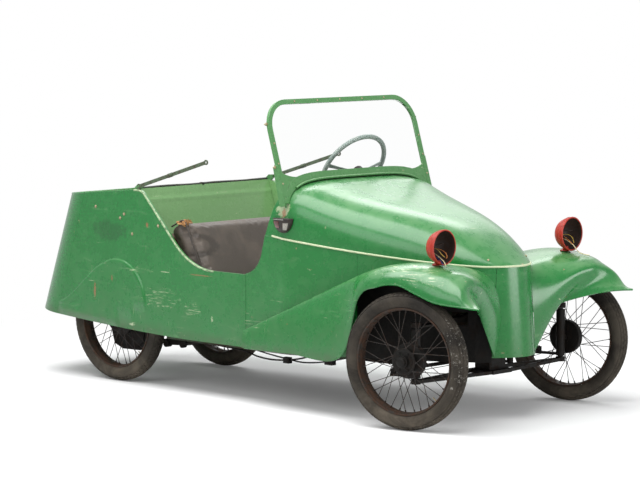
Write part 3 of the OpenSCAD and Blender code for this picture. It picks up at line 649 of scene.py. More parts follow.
def rusty_group():
    """Metal or paint that rust and dirt have crept over."""
    tree, put, out = group_tree("rust_creep", [
        ("Metal", COLOUR, (0.05, 0.05, 0.05, 1)), ("Rust", COLOUR, (0.12, 0.05, 0.025, 1)),
        ("Amount", FLOAT, 0.5), ("Grain", FLOAT, 30.0), ("Dust", FLOAT, 0.5)],
        [("Color", COLOUR), ("Roughness", FLOAT), ("Height", FLOAT), ("Clean", FLOAT)])
    at = here(tree)
    creep = speckle(tree, at, put["Grain"], 8, 0.7, 0.5)
    grit = speckle(tree, at, times(tree, put["Grain"], 7.0), 4, 0.7)
    edge = less(tree, 0.85, times(tree, put["Amount"], 0.7))
    mask = span(tree, creep, less(tree, edge, 0.14), plus(tree, edge, 0.1))
    dust = times(tree, span(tree, grit, 0.35, 0.7), put["Dust"])
    dusty = blend_colour(tree, dust, put["Metal"], (0.09, 0.078, 0.06))
    rust = blend_colour(tree, span(tree, grit, 0.35, 0.65), put["Rust"],
                        blend_colour(tree, 0.5, put["Rust"], (0.02, 0.012, 0.008)))
    tree.links.new(blend_colour(tree, mask, dusty, rust), out["Color"])
    rough = plus(tree, mask, times(tree, grit, 0.3))
    tree.links.new(span(tree, rough, 0.0, 1.2, 0.38, 0.86), out["Roughness"])
    tree.links.new(plus(tree, times(tree, mask, 0.5), times(tree, grit, 0.3)),
                   out["Height"])
    tree.links.new(less(tree, 1.0, mask), out["Clean"])
    return tree


def grain_group():
    """Pressed grain of leathercloth, with creases."""
    tree, put, out = group_tree("leathercloth_grain", [("Scale", FLOAT, 420.0), ("Crease", FLOAT, 0.4)],
                                [("Height", FLOAT), ("Worn", FLOAT)])
    at = here(tree)
    cells = node(tree, "ShaderNodeTexVoronoi", {"Vector": at, "Scale": put["Scale"], "Randomness": 1.0},
                 feature="DISTANCE_TO_EDGE").outputs["Distance"]
    crease = speckle(tree, stretched(tree, at, (6, 2.2, 6)), 5.0, 6, 0.62, 1.4)
    ridge = calc(tree, "ABSOLUTE", less(tree, crease, 0.5))
    fold = times(tree, span(tree, ridge, 0.0, 0.05, 1.0, 0.0), put["Crease"])
    level = less(tree, span(tree, cells, 0.0, 0.12, 0.0, 0.3), times(tree, fold, 0.6))
    tree.links.new(level, out["Height"])
    tree.links.new(span(tree, speckle(tree, at, 7.0, 7, 0.66, 0.6), 0.42, 0.68), out["Worn"])
    return tree


GROUPS = {}
FINISH = {}


def shared(name):
    """Shader group by name, built when it is first asked for."""
    if name not in GROUPS:
        GROUPS[name] = {"weathered_paint": weathered_paint_group, "ragged_patch": patch_group,
                        "rust_creep": rusty_group, "leathercloth_grain": grain_group}[name]()
    return GROUPS[name]


def use_group(tree, name, values):
    """Places a shared group in a material with its own values."""
    n = tree.nodes.new("ShaderNodeGroup")
    n.node_tree = shared(name)
    for key, value in values.items():
        socket = n.inputs[key]
        socket.default_value = (*value, 1) if socket.type == "RGBA" else value
    return n.outputs


def blank_finish(name):
    """New node material; returns it with its tree and its main shader."""
    material = bpy.data.materials.new(name)
    material.use_nodes = True
    tree = material.node_tree
    shader = next(n for n in tree.nodes if n.type == "BSDF_PRINCIPLED")
    FINISH[name] = material
    return material, tree, shader


def feed(tree, shader, color=None, roughness=None, height=None, depth=0.001, strength=0.5, metallic=None):
    """Links or sets a shader's colour, roughness and metal, and bumps its surface."""
    for key, value in (("Base Color", color), ("Roughness", roughness), ("Metallic", metallic)):
        if isinstance(value, bpy.types.NodeSocket):
            tree.links.new(value, shader.inputs[key])
        elif value is not None:
            shader.inputs[key].default_value = (*value, 1) if hasattr(value, "__len__") else value
    if height is not None:
        bump = node(tree, "ShaderNodeBump", {"Height": height, "Strength": strength, "Distance": depth})
        tree.links.new(bump.outputs[0], shader.inputs["Normal"])


# Marks on the paint: [middle, stretch, radius, ragged, grain, lines, tint], in metres, as they lie on the car
MARKS = [
    ((-1.037, -0.478, 0.470), (3.6, 1, 0.75), 0.034, 0.6, 120, 0, "primer"),
    ((-0.902, -0.484, 0.545), (3.0, 1, 1.1), 0.020, 0.7, 140, 0, "primer"),
    ((-0.636, -0.496, 0.834), (1.5, 1, 1.0), 0.015, 0.6, 120, 0, "primer"),
    ((-0.154, -0.518, 0.392), (2.6, 1, 1.0), 0.016, 1.0, 190, 0, "bare"),
    ((-0.756, -0.491, 0.318), (0.9, 1, 2.2), 0.017, 1.0, 190, 0, "bare"),
    ((0.577, -0.550, 0.481), (1.8, 1, 0.9), 0.018, 0.6, 120, 0, "primer"),
    ((1.350, -0.190, 0.800), (1, 1, 2.4), 0.024, 0.6, 120, 0, "primer"),
    ((-0.240, -0.514, 0.606), (0.22, 1, 6.0), 0.020, 0.5, 90, 0, "primer"),
    ((-0.923, -0.484, 0.790), (0.6, 1, 1.7), 0.085, 0.5, 20, 0, "dark"),
    ((-0.501, -0.502, 0.604), (0.6, 1, 7.0), 0.020, 0.5, 80, 0, "bare"),
    ((-0.700, -0.494, 0.600), (0.5, 1, 4.0), 0.050, 0.8, 60, 1, "bare"),
    ((-0.517, -0.502, 0.470), (0.55, 1, 1.5), 0.075, 0.7, 45, 1, "bare"),
    ((-0.300, -0.512, 0.430), (0.9, 1, 1.6), 0.060, 0.8, 60, 1, "bare"),
    ((1.110, -0.580, 0.765), (0.62, 1.2, 1), 0.080, 0.9, 60, 1, "bare"),
    ((1.250, -0.615, 0.745), (0.5, 1.5, 1), 0.085, 0.9, 60, 1, "bare"),
    ((1.390, -0.625, 0.715), (0.6, 1.4, 1), 0.050, 0.9, 60, 1, "bare"),
    ((0.345, -0.515, 0.965), (1, 1, 1), 0.046, 0.6, 50, 0, "bare"),
    ((0.352, -0.530, 0.945), (1.4, 1, 1), 0.022, 0.8, 90, 0, "primer"),
]


def green_finish(name, paint, fade=0.35, chips=0.6, scratches=0.7, dirt=0.2, marked=True, base=None):
    """Worn body green, with the marks that the car carries."""
    material, tree, shader = blank_finish(name)
    made = use_group(tree, "weathered_paint", {
        "Paint": base or paint.green[:], "Faded": paint.faded[:], "Bare": paint.cream[:],
        "Primer": paint.primer[:], "Fade": fade, "Chips": chips, "Scratches": scratches, "Dirt": dirt})
    color = made["Color"]
    tints = {"primer": paint.primer[:], "bare": paint.cream[:], "dark": tuple(c * 0.45 for c in paint.green)}
    for centre, stretch, radius, ragged, grain, lines, tint in MARKS if marked else []:
        mask = use_group(tree, "ragged_patch", {"Centre": centre, "Stretch": stretch, "Radius": radius,
                                                "Ragged": ragged, "Grain": grain, "Lines": lines})["Mask"]
        share = {"primer": 0.6, "bare": 0.6, "dark": 0.5}[tint]
        color = blend_colour(tree, times(tree, mask, share), color, tints[tint])
    feed(tree, shader, color, made["Roughness"], made["Height"], depth=0.0035, strength=0.28)
    shader.inputs["Specular IOR Level"].default_value = 0.42
    shader.inputs["Coat Weight"].default_value = 0.45
    shader.inputs["Coat Roughness"].default_value = 0.17
    return material


def rusty_finish(name, metal, rust, amount, grain, metallic=0.0, specular=0.35, dust=0.3):
    """Metal or dull paint with rust and dust on it."""
    material, tree, shader = blank_finish(name)
    made = use_group(tree, "rust_creep", {"Metal": metal, "Rust": rust, "Amount": amount, "Grain": grain,
                                          "Dust": dust})
    shine = times(tree, made["Clean"], metallic) if metallic else None
    feed(tree, shader, made["Color"], made["Roughness"], made["Height"], 0.0006, 0.5, shine)
    shader.inputs["Specular IOR Level"].default_value = specular
    return material


def speckled_finish(name, first, second, scale, rough, depth):
    """Two tones of one stuff, mixed by noise, with a fine tooth."""
    material, tree, shader = blank_finish(name)
    at = here(tree)
    spots = speckle(tree, at, scale, 5, 0.65, 0.3)
    color = blend_colour(tree, span(tree, spots, 0.35, 0.68), first, second)
    feed(tree, shader, color, span(tree, spots, 0.3, 0.7, *rough),
         speckle(tree, at, scale * 4, 4, 0.6), depth, 0.4)
    return material


def rubber_finish():
    """Old tyre rubber: dusty grey-brown walls, pale scuffs and cracked whitish tread."""
    material, tree, shader = blank_finish("tyre_rubber")
    at = here(tree)
    dust = speckle(tree, at, 5.0, 7, 0.66, 0.5)
    grit = speckle(tree, at, 130.0, 4, 0.7)
    color = blend_colour(tree, span(tree, dust, 0.35, 0.7, 0.05, 0.95), (0.014, 0.012, 0.010),
                         (0.068, 0.058, 0.046))
    color = blend_colour(tree, span(tree, grit, 0.55, 0.75, 0.0, 0.3), color, (0.085, 0.074, 0.06))
    scuffs = speckle(tree, stretched(tree, at, (26, 10, 26)), 3.0, 5, 0.7, 0.6)
    tread = use_group(tree, "ragged_patch", {"Centre": (1.49, -0.62, 0.36), "Stretch": (1.6, 1.1, 0.62),
                                             "Radius": 0.12, "Ragged": 0.5, "Grain": 30.0})["Mask"]
    pale = times(tree, span(tree, scuffs, 0.58, 0.66), tread)
    color = blend_colour(tree, times(tree, pale, 0.6), color, (0.42, 0.40, 0.36))
    low = span(tree, node(tree, "ShaderNodeSeparateXYZ", {0: at}).outputs[2], 0.3, 0.0)
    low = times(tree, low, span(tree, dust, 0.4, 0.7, 0.2, 0.7))
    color = blend_colour(tree, low, color, (0.15, 0.125, 0.095))
    feed(tree, shader, color, span(tree, dust, 0.3, 0.7, 0.62, 0.88), grit, 0.0006, 0.5)
    shader.inputs["Specular IOR Level"].default_value = 0.16
    return material


def cover_finish(paint):
    """Grey-brown leathercloth, rubbed pale, with a darker curved stain."""
    material, tree, shader = blank_finish("seat_cover")
    made = use_group(tree, "leathercloth_grain", {"Scale": 380.0, "Crease": 0.5})
    dark = tuple(c * 0.42 for c in paint.cover)
    color = blend_colour(tree, made["Worn"], paint.cover[:], tuple(c * 1.55 for c in paint.cover))
    at = here(tree)
    _, y, z = node(tree, "ShaderNodeSeparateXYZ", {0: at}).outputs
    dy = calc(tree, "DIVIDE", plus(tree, y, 0.44), 0.115)
    dz = calc(tree, "DIVIDE", less(tree, z, 0.748), 0.05)
    ring = calc(tree, "SQRT", plus(tree, calc(tree, "POWER", dy, 2.0), calc(tree, "POWER", dz, 2.0)))
    ring = plus(tree, ring, times(tree, less(tree, made["Worn"], 0.5), 0.25))
    stain = times(tree, span(tree, ring, 0.55, 0.85), span(tree, ring, 1.3, 1.05))
    stain = times(tree, stain, span(tree, y, -0.485, -0.425))
    color = blend_colour(tree, times(tree, stain, 0.7), color, dark)
    # The cover turns darker towards the bottom, from 0.62 m down to 0.48 m high
    foot = span(tree, z, 0.62, 0.48)
    color = blend_colour(tree, times(tree, foot, 0.5), color, dark)
    feed(tree, shader, color, span(tree, made["Worn"], 0.0, 1.0, 0.42, 0.62), made["Height"], 0.0012, 0.55)
    return material


def glass_finish():
    """Clear old pane that lets light through to what lies behind."""
    material, tree, shader = blank_finish("clear_pane")
    at = here(tree)
    film = speckle(tree, at, 6.0, 6, 0.6)
    feed(tree, shader, (0.985, 0.99, 0.988), span(tree, film, 0.3, 0.8, 0.0, 0.012))
    shader.inputs["Transmission Weight"].default_value = 1.0
    shader.inputs["IOR"].default_value = 1.2
    path = tree.nodes.new("ShaderNodeLightPath").outputs
    see = node(tree, "ShaderNodeBsdfTransparent", {0: (0.97, 0.98, 0.975, 1)})
    show(tree, most(tree, path["Is Shadow Ray"], path["Is Diffuse Ray"]), shader, see)
    return material


def lens_finish(name, color, depth_color):
    """Ribbed lamp glass over a dull reflector."""
    material, tree, shader = blank_finish(name)
    at = here(tree)
    ribs = node(tree, "ShaderNodeTexWave", {"Vector": at, "Scale": 60.0, "Distortion": 0.4},
                bands_direction="X").outputs["Fac"]
    grime = speckle(tree, at, 60.0, 5, 0.6)
    feed(tree, shader, blend_colour(tree, span(tree, grime, 0.35, 0.7), color, depth_color),
         span(tree, grime, 0.3, 0.7, 0.1, 0.3), ribs, 0.0008, 0.4)
    shader.inputs["Coat Weight"].default_value = 0.6
    return material


SOOT = (0.006, 0.0058, 0.0055)


def make_finishes():
    """All paints, metals, rubber, cloth and glass of the car."""
    paint = bpy.context.scene.microcar_paint
    green_finish("body_green", paint)
    green_finish("fender_green", paint, fade=0.45, chips=0.75, scratches=0.9)
    green_finish("bonnet_green", paint, chips=0.35, scratches=0.35, dirt=0.0)
    green_finish("screen_green", paint, 0.95, 1.5, 1.4, 0.0, False, (0.07, 0.215, 0.068))
    # Paler green for the faces inside the body: partly the faded paint of the inside, partly painted light
    # that lifts these faces where they lie in shade
    green_finish("inner_green_with_painted_light", paint, 0.6, 0.9, 1.0, 0.3, False, (0.175, 0.345, 0.135))
    rusty_finish("bead_cream", paint.cream[:], (0.16, 0.25, 0.12), 0.12, 40, specular=0.4, dust=0.05)
    rusty_finish("rolled_edge", tuple(0.5 * c + 0.5 * g for c, g in zip(paint.cream, paint.faded)),
                 (0.05, 0.16, 0.06), 0.4, 55, specular=0.4, dust=0.1)
    rusty_finish("well_black", SOOT, (0.014, 0.010, 0.008), 0.3, 12, specular=0.1, dust=0.06)
    rusty_finish("frame_steel", SOOT, (0.016, 0.011, 0.008), 0.4, 24, specular=0.14, dust=0.08)
    rusty_finish("drum_black", SOOT, (0.018, 0.011, 0.008), 0.35, 30, specular=0.14, dust=0.1)
    rusty_finish("spoke_wire", (0.018, 0.016, 0.015), (0.035, 0.020, 0.013), 0.45, 60, dust=0.15)
    rusty_finish("rim_rust", (0.022, 0.018, 0.015), (0.062, 0.032, 0.019), 0.5, 26, specular=0.25, dust=0.25)
    rusty_finish("lamp_red", paint.lamp_red[:], (0.16, 0.02, 0.012), 0.28, 34, specular=0.4, dust=0.06)
    rusty_finish("lamp_inside", (0.026, 0.018, 0.016), (0.04, 0.022, 0.016), 0.5, 30, specular=0.2, dust=0.1)
    rusty_finish("iron_steel", (0.075, 0.115, 0.065), (0.06, 0.05, 0.03), 0.4, 40)
    rusty_finish("stud_metal", (0.42, 0.35, 0.22), (0.13, 0.09, 0.05), 0.3, 160, metallic=0.6)
    rusty_finish("strip_dark", (0.010, 0.018, 0.010), (0.04, 0.032, 0.022), 0.35, 30, specular=0.2, dust=0.15)
    rusty_finish("side_lamp_body", (0.016, 0.011, 0.009), (0.04, 0.022, 0.015), 0.4, 70, specular=0.5,
                 dust=0.1)
    # Bright metal of the side lamps' strip: partly chrome, partly a painted highlight
    rusty_finish("bright_metal_highlight", (0.62, 0.60, 0.56), (0.22, 0.17, 0.12), 0.3, 90, metallic=0.9)
    rusty_finish("floor_green", (0.020, 0.045, 0.022), (0.04, 0.028, 0.018), 0.5, 12, specular=0.2)
    rubber_finish()
    cover_finish(paint)
    glass_finish()
    lens_finish("red_lens", (0.11, 0.007, 0.006), (0.04, 0.005, 0.004))
    lens_finish("white_lens", (0.36, 0.34, 0.30), (0.20, 0.18, 0.15))
    speckled_finish("stuffing_tan", (0.46, 0.24, 0.09), (0.24, 0.11, 0.04), 55, (0.8, 0.95), 0.004)
    speckled_finish("piping_dark", (0.028, 0.021, 0.017), (0.055, 0.043, 0.034), 90, (0.45, 0.65), 0.0005)
    speckled_finish("seat_wood", (0.10, 0.058, 0.03), (0.05, 0.028, 0.015), 14, (0.6, 0.8), 0.001)
    speckled_finish("helm_grey", (0.19, 0.24, 0.22), (0.29, 0.33, 0.30), 26, (0.4, 0.6), 0.0004)
    speckled_finish("wire_cream", (0.80, 0.71, 0.45), (0.58, 0.48, 0.27), 90, (0.5, 0.7), 0.0002)
    speckled_finish("wire_yellow", (0.86, 0.62, 0.12), (0.66, 0.40, 0.06), 90, (0.45, 0.65), 0.0002)
    speckled_finish("wire_orange", (0.78, 0.27, 0.05), (0.55, 0.17, 0.04), 90, (0.45, 0.65), 0.0002)
    speckled_finish("wire_blue", (0.02, 0.09, 0.42), (0.015, 0.05, 0.22), 90, (0.45, 0.65), 0.0002)


# Geometry trees

def geometry_tree(name, inputs):
    tree = bpy.data.node_groups.new(name, "GeometryNodeTree")
    tree.interface.new_socket("Geometry", in_out="INPUT", socket_type="NodeSocketGeometry")
    for label, kind, value in inputs:
        socket = tree.interface.new_socket(label, in_out="INPUT", socket_type=kind)
        if value is not None:
            socket.default_value = value
    tree.interface.new_socket("Geometry", in_out="OUTPUT", socket_type="NodeSocketGeometry")
    return tree, tree.nodes.new("NodeGroupInput").outputs, tree.nodes.new("NodeGroupOutput").inputs


def close_tree(tree, shape, material, out):
    real = node(tree, "GeometryNodeRealizeInstances", {0: shape}).outputs[0]
    smooth = node(tree, "GeometryNodeSetShadeSmooth", {"Geometry": real}).outputs[0]
    done = node(tree, "GeometryNodeSetMaterial", {"Geometry": smooth, "Material": material}).outputs[0]
    tree.links.new(done, out[0])
    return tree


def joined(tree, *parts):
    both = tree.nodes.new("GeometryNodeJoinGeometry")
    for part in parts:
        tree.links.new(part, both.inputs[0])
    return both.outputs[0]


def point_vector(tree, name):
    return node(tree, "GeometryNodeInputNamedAttribute", {"Name": name}, data_type="FLOAT_VECTOR").outputs[0]


def spoke_tree():
    """Wire along every edge, with a nipple at its outer end."""
    tree, put, out = geometry_tree("wire_spokes", [
        ("Radius", FLOAT, 0.0017), ("Nipple Radius", FLOAT, 0.0034), ("Nipple Length", FLOAT, 0.02),
        ("Finish", "NodeSocketMaterial", None)])
    wire = node(tree, "GeometryNodeMeshToCurve", {0: put["Geometry"]}).outputs[0]
    ring = node(tree, "GeometryNodeCurvePrimitiveCircle", {
        "Resolution": 8, "Radius": put["Radius"]}).outputs[0]
    rods = node(tree, "GeometryNodeCurveToMesh", {
        "Curve": wire, "Profile Curve": ring, "Fill Caps": True}).outputs[0]
    ends = node(tree, "GeometryNodeCurveEndpointSelection", {"Start Size": 0, "End Size": 1}).outputs[0]
    along = node(tree, "GeometryNodeInputTangent").outputs[0]
    aim = node(tree, "FunctionNodeAlignRotationToVector", {"Vector": along}, axis="Z").outputs[0]
    nipple = node(tree, "GeometryNodeMeshCylinder", {
        "Vertices": 8, "Radius": put["Nipple Radius"], "Depth": put["Nipple Length"]}).outputs["Mesh"]
    heads = node(tree, "GeometryNodeInstanceOnPoints", {
        "Points": wire, "Selection": ends, "Instance": nipple, "Rotation": aim}).outputs[0]
    return close_tree(tree, joined(tree, rods, heads), put["Finish"], out)


def stud_tree():
    """Round-headed fastener on every point, turned along its aim."""
    tree, put, out = geometry_tree("round_fasteners", [
        ("Head Radius", FLOAT, 0.005), ("Head Height", FLOAT, 0.004), ("Collar", FLOAT, 1.35),
        ("Finish", "NodeSocketMaterial", None)])
    head = node(tree, "GeometryNodeMeshUVSphere", {
        "Segments": 14, "Rings": 8, "Radius": put["Head Radius"]}).outputs[0]
    tall = calc(tree, "DIVIDE", put["Head Height"], put["Head Radius"])
    shape = node(tree, "ShaderNodeCombineXYZ", {0: 1.0, 1: 1.0, 2: tall}).outputs[0]
    head = node(tree, "GeometryNodeTransform", {"Geometry": head, "Scale": shape}).outputs[0]
    wide = times(tree, put["Head Radius"], put["Collar"])
    collar = node(tree, "GeometryNodeMeshCylinder", {
        "Vertices": 16, "Radius": wide, "Depth": 0.0022}).outputs["Mesh"]
    aim = node(tree, "FunctionNodeAlignRotationToVector", {"Vector": point_vector(tree, "aim")},
               axis="Z").outputs[0]
    heads = node(tree, "GeometryNodeInstanceOnPoints", {
        "Points": put["Geometry"], "Instance": joined(tree, head, collar), "Rotation": aim}).outputs[0]
    return close_tree(tree, heads, put["Finish"], out)


def tread_tree():
    """Block on every point, its height along aim and its length along the roll."""
    tree, put, out = geometry_tree("tread_blocks", [
        ("Length", FLOAT, 0.018), ("Width", FLOAT, 0.011), ("Height", FLOAT, 0.006),
        ("Finish", "NodeSocketMaterial", None)])
    size = node(tree, "ShaderNodeCombineXYZ", {
        0: put["Length"], 1: put["Width"], 2: put["Height"]}).outputs[0]
    block = node(tree, "GeometryNodeMeshCube", {"Size": size}).outputs["Mesh"]
    first = node(tree, "FunctionNodeAlignRotationToVector", {"Vector": point_vector(tree, "aim")},
                 axis="Z").outputs[0]
    turned = node(tree, "FunctionNodeAlignRotationToVector", {
        "Rotation": first, "Vector": point_vector(tree, "roll")}, axis="X", pivot_axis="Z").outputs[0]
    blocks = node(tree, "GeometryNodeInstanceOnPoints", {
        "Points": put["Geometry"], "Instance": block, "Rotation": turned}).outputs[0]
    return close_tree(tree, blocks, put["Finish"], out)


TREES = {}


def grow(name, tree_maker, points, edges, values, attributes=None):
    """Runs a geometry tree on points in millimetres and returns the plain mesh it makes."""
    if tree_maker.__name__ not in TREES:
        TREES[tree_maker.__name__] = tree_maker()
    tree = TREES[tree_maker.__name__]
    mesh = bpy.data.meshes.new(name + "_seed")
    mesh.from_pydata([tuple(c * MM for c in p) for p in points], edges, [])
    for key, vectors in (attributes or {}).items():
        data = mesh.attributes.new(key, "FLOAT_VECTOR", "POINT")
        data.data.foreach_set("vector", np.asarray(vectors, np.float32).ravel())
    obj = placed(name + "_seed", mesh)
    modifier = obj.modifiers.new("grow", "NODES")
    modifier.node_group = tree
    for item in tree.interface.items_tree:
        if item.item_type == "SOCKET" and item.in_out == "INPUT" and item.name in values:
            modifier[item.identifier] = values[item.name]
    bpy.context.view_layer.update()
    made = bpy.data.meshes.new_from_object(obj.evaluated_get(bpy.context.evaluated_depsgraph_get()))
    obj.modifiers.remove(modifier)
    bpy.data.objects.remove(obj)
    bpy.data.meshes.remove(mesh)
    made.name = name
    made.materials.clear()
    made.materials.append(values["Finish"])
    made.polygons.foreach_set("material_index", [0] * len(made.polygons))
    return made


def merge_into(obj, extra):
    """Adds a plain mesh to an object's own mesh, with its finishes."""
    bm = bmesh.new()
    bm.from_mesh(obj.data)
    before = len(bm.faces)
    bm.from_mesh(extra)
    bm.faces.ensure_lookup_table()
    slots = []
    for material in extra.materials:
        if material.name not in obj.data.materials:
            obj.data.materials.append(material)
        slots.append(obj.data.materials.find(material.name))
    for face in bm.faces[before:]:
        face.material_index = slots[min(face.material_index, len(slots) - 1)] if slots else 0
    bm.to_mesh(obj.data)
    bm.free()
    bpy.data.meshes.remove(extra)
    obj.data.set_sharp_from_angle(angle=math.radians(38))


def studs(name, points, aims, radius, height, collar=1.35):
    """One piece of fasteners of one size, on points in millimetres."""
    made = grow(name, stud_tree, points, [], {"Head Radius": radius, "Head Height": height, "Collar": collar,
                                              "Finish": FINISH["stud_metal"]}, {"aim": aims})
    return settle(made, name, "car_body", sharp=50)


# Stage

def aimed(name, data, at, to):
    """New camera or light at one point, turned to another."""
    obj = placed(name, data)
    obj.location = at
    obj.rotation_mode = "QUATERNION"
    obj.rotation_quaternion = (Vector(to) - Vector(at)).to_track_quat("-Z", "Y")
    return obj


def make_camera():
    data = bpy.data.cameras.new("photo_camera")
    data.lens, data.sensor_width = CAMERA_LENS, CAMERA_SENSOR
    data.clip_end = 200
    bpy.context.scene.camera = aimed("photo_camera", data, CAMERA_AT, CAMERA_TO)


# Lights of the stage: [name, at, to, size, power], in metres and watts
LIGHTS = [
    ("top_light", (0.0, -1.3, 4.0), (0.0, -0.1, 0.5), (6.0, 2.6), 235),
    ("far_light", (-3.4, 5.0, 4.2), (0.3, 0, 0.9), (5.0, 3.0), 48),
    ("band_light", (-1.6, 2.3, 4.1), (0.6, -0.1, 0.9), (3.4, 1.3), 58),
    ("front_light", (5.7, 0.9, 1.5), (1.35, 0.3, 0.68), (2.4, 1.8), 84),
    ("side_light", (0.8, -5.7, 4.0), (0.3, 0, 0.7), (4.4, 2.8), 98),
]
WORLD_LIGHT = 0.4
GLOSSY_SHARE = 0.5  # how much of the white background shiny surfaces mirror
FLOOR_HALF = 60.0


def sees_white(tree):
    """Share of the white background that the camera, glass and shiny surfaces see."""
    path = tree.nodes.new("ShaderNodeLightPath").outputs
    seen = most(tree, path["Is Camera Ray"], path["Is Transmission Ray"])
    return most(tree, seen, times(tree, path["Is Glossy Ray"], GLOSSY_SHARE))


def make_floor():
    """Pale floor that keeps the shadow near the car and runs into the white background."""
    corners = [(x * FLOOR_HALF, y * FLOOR_HALF, 0) for x, y in ((-1, -1), (1, -1), (1, 1), (-1, 1))]
    mesh = bpy.data.meshes.new("studio_floor")
    mesh.from_pydata(corners, [], [(0, 1, 2, 3)])
    floor = placed("studio_floor", mesh)
    material, tree, shader = blank_finish("pale_floor")
    at = here(tree)
    mottle = speckle(tree, at, 1.5, 3, 0.5)
    feed(tree, shader, blend_colour(tree, mottle, (0.90, 0.90, 0.90), (0.94, 0.94, 0.94)), 0.9)
    shader.inputs["Specular IOR Level"].default_value = 0.0
    far = node(tree, "ShaderNodeVectorMath", {0: at}, operation="LENGTH").outputs["Value"]
    share = times(tree, sees_white(tree), span(tree, far, 1.7, 3.4, 0.08, 1.0))
    show(tree, share, shader, tree.nodes.new("ShaderNodeEmission"))
    mesh.materials.append(material)


def make_world():
    world = bpy.data.worlds.new("studio_world")
    bpy.context.scene.world = world
    world.use_nodes = True
    tree = world.node_tree
    dim = next(n for n in tree.nodes if n.type == "BACKGROUND")
    dim.inputs[0].default_value = (0.97, 0.985, 1.0, 1)
    dim.inputs[1].default_value = WORLD_LIGHT
    white = node(tree, "ShaderNodeBackground", {0: (1, 1, 1, 1), 1: 1.0})
    show(tree, sees_white(tree), dim, white)


def make_stage():
    make_camera()
    make_world()
    make_floor()
    for name, at, to, size, power in LIGHTS:
        data = bpy.data.lights.new(name, "AREA")
        data.shape, data.size, data.size_y = "RECTANGLE", *size
        data.energy = power
        aimed(name, data, at, to)
    bpy.context.scene.view_settings.view_transform = "Standard"


# Pieces

WIRE_LONG = [(-81.8, 0, -22.4), (-46, 6, -32), (-8, 10, -52), (16, 12, -76), (36, 14, -91), (64, 18, -97.5),
             (86, 24, -100)]
WIRE_SHORT = [(-81.8, 0, -22.4), (-50, -6, -35), (-18, -10, -50), (8, -14, -66), (24, -20, -84)]


def free_wire(name, route, side, radius, finish, count, stands_for=()):
    """Loose lamp wire as one curve along its route, given from the middle of the lamp's mouth."""
    lamp = LAMP * np.array([1, side, 1])
    path = np.array([lamp + bend(route, i / (count - 1)) for i in range(count)]) * MM
    data = bpy.data.curves.new(name, "CURVE")
    data.dimensions = "3D"
    data.bevel_depth, data.bevel_resolution = radius * MM, 3
    data.use_fill_caps = True
    spline = data.splines.new("POLY")
    spline.points.add(count - 1)
    for point, place in zip(spline.points, path):
        point.co = (*place, 1)
    spline.use_smooth = True
    data.materials.append(FINISH[finish])
    obj = placed(name, data)
    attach(obj, "car_body")
    if stands_for:
        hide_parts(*stands_for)


def make_wires():
    free_wire("headlamp_wire_left_cord", WIRE_LONG, 1, 2.2, "wire_cream", 32, ["headlamp_wire_left"])
    free_wire("headlamp_wire_right_cord", WIRE_SHORT, -1, 2.2, "wire_cream", 28, ["headlamp_wire_right"])
    strands = [("yellow", [(-70, 8, -8), (-44, 14, -6), (-20, 18, -16), (-6, 14, -32), (4, 6, -44)]),
               ("orange", [(-70, -10, -10), (-40, -18, -14), (-14, -20, -26), (2, -14, -42), (8, -2, -50)]),
               ("blue", [(-70, 3, -30), (-40, 12, -46), (-14, 18, -58), (6, 22, -72), (8, 23, -84)])]
    for side, tag, shown in ((1, "left", strands[:2]), (-1, "right", strands)):
        for color, route in shown:
            turned = [(x, y * side, z) for x, y, z in route]
            free_wire("lamp_strand_%s_%s" % (color, tag), turned, side, 1.3, "wire_" + color, 22)


def wall_grid(xs, low, high, rows):
    """Grid of points on the left side between two heights."""
    g = []
    for x in xs:
        a = np.array([x, body_y(x, low(x)), low(x)])
        b = np.array([x, body_y(x, high(x)), high(x)])
        g.append([lerp(a, b, r / rows) for r in range(rows + 1)])
    return np.array(g)


def toward(grid, depth, inside):
    """Second face of a wall, on the side where the point inside lies."""
    n = grid_normals(grid)
    to = np.asarray(inside, float) - grid
    sign = np.sign((n * to).sum(2, keepdims=True))
    sign[sign == 0] = 1
    sign = np.sign(sign.mean()) if abs(sign.mean()) > 0.5 else sign
    return grid + n * sign * depth


def make_bonnet():
    ks = steps(0, 0.9, 46) + [0.92, 0.94, 0.955, 0.97]
    qs = steps(0, 180, 72)
    faces = [np.array([[dome(k, q, d) for q in qs] for k in ks]) for d in (0, SHEET)]
    Shell().sheet(*faces, LINED).panel("bonnet_panel", ("bonnet_green", "inner_green_with_painted_light"), ["bonnet"])


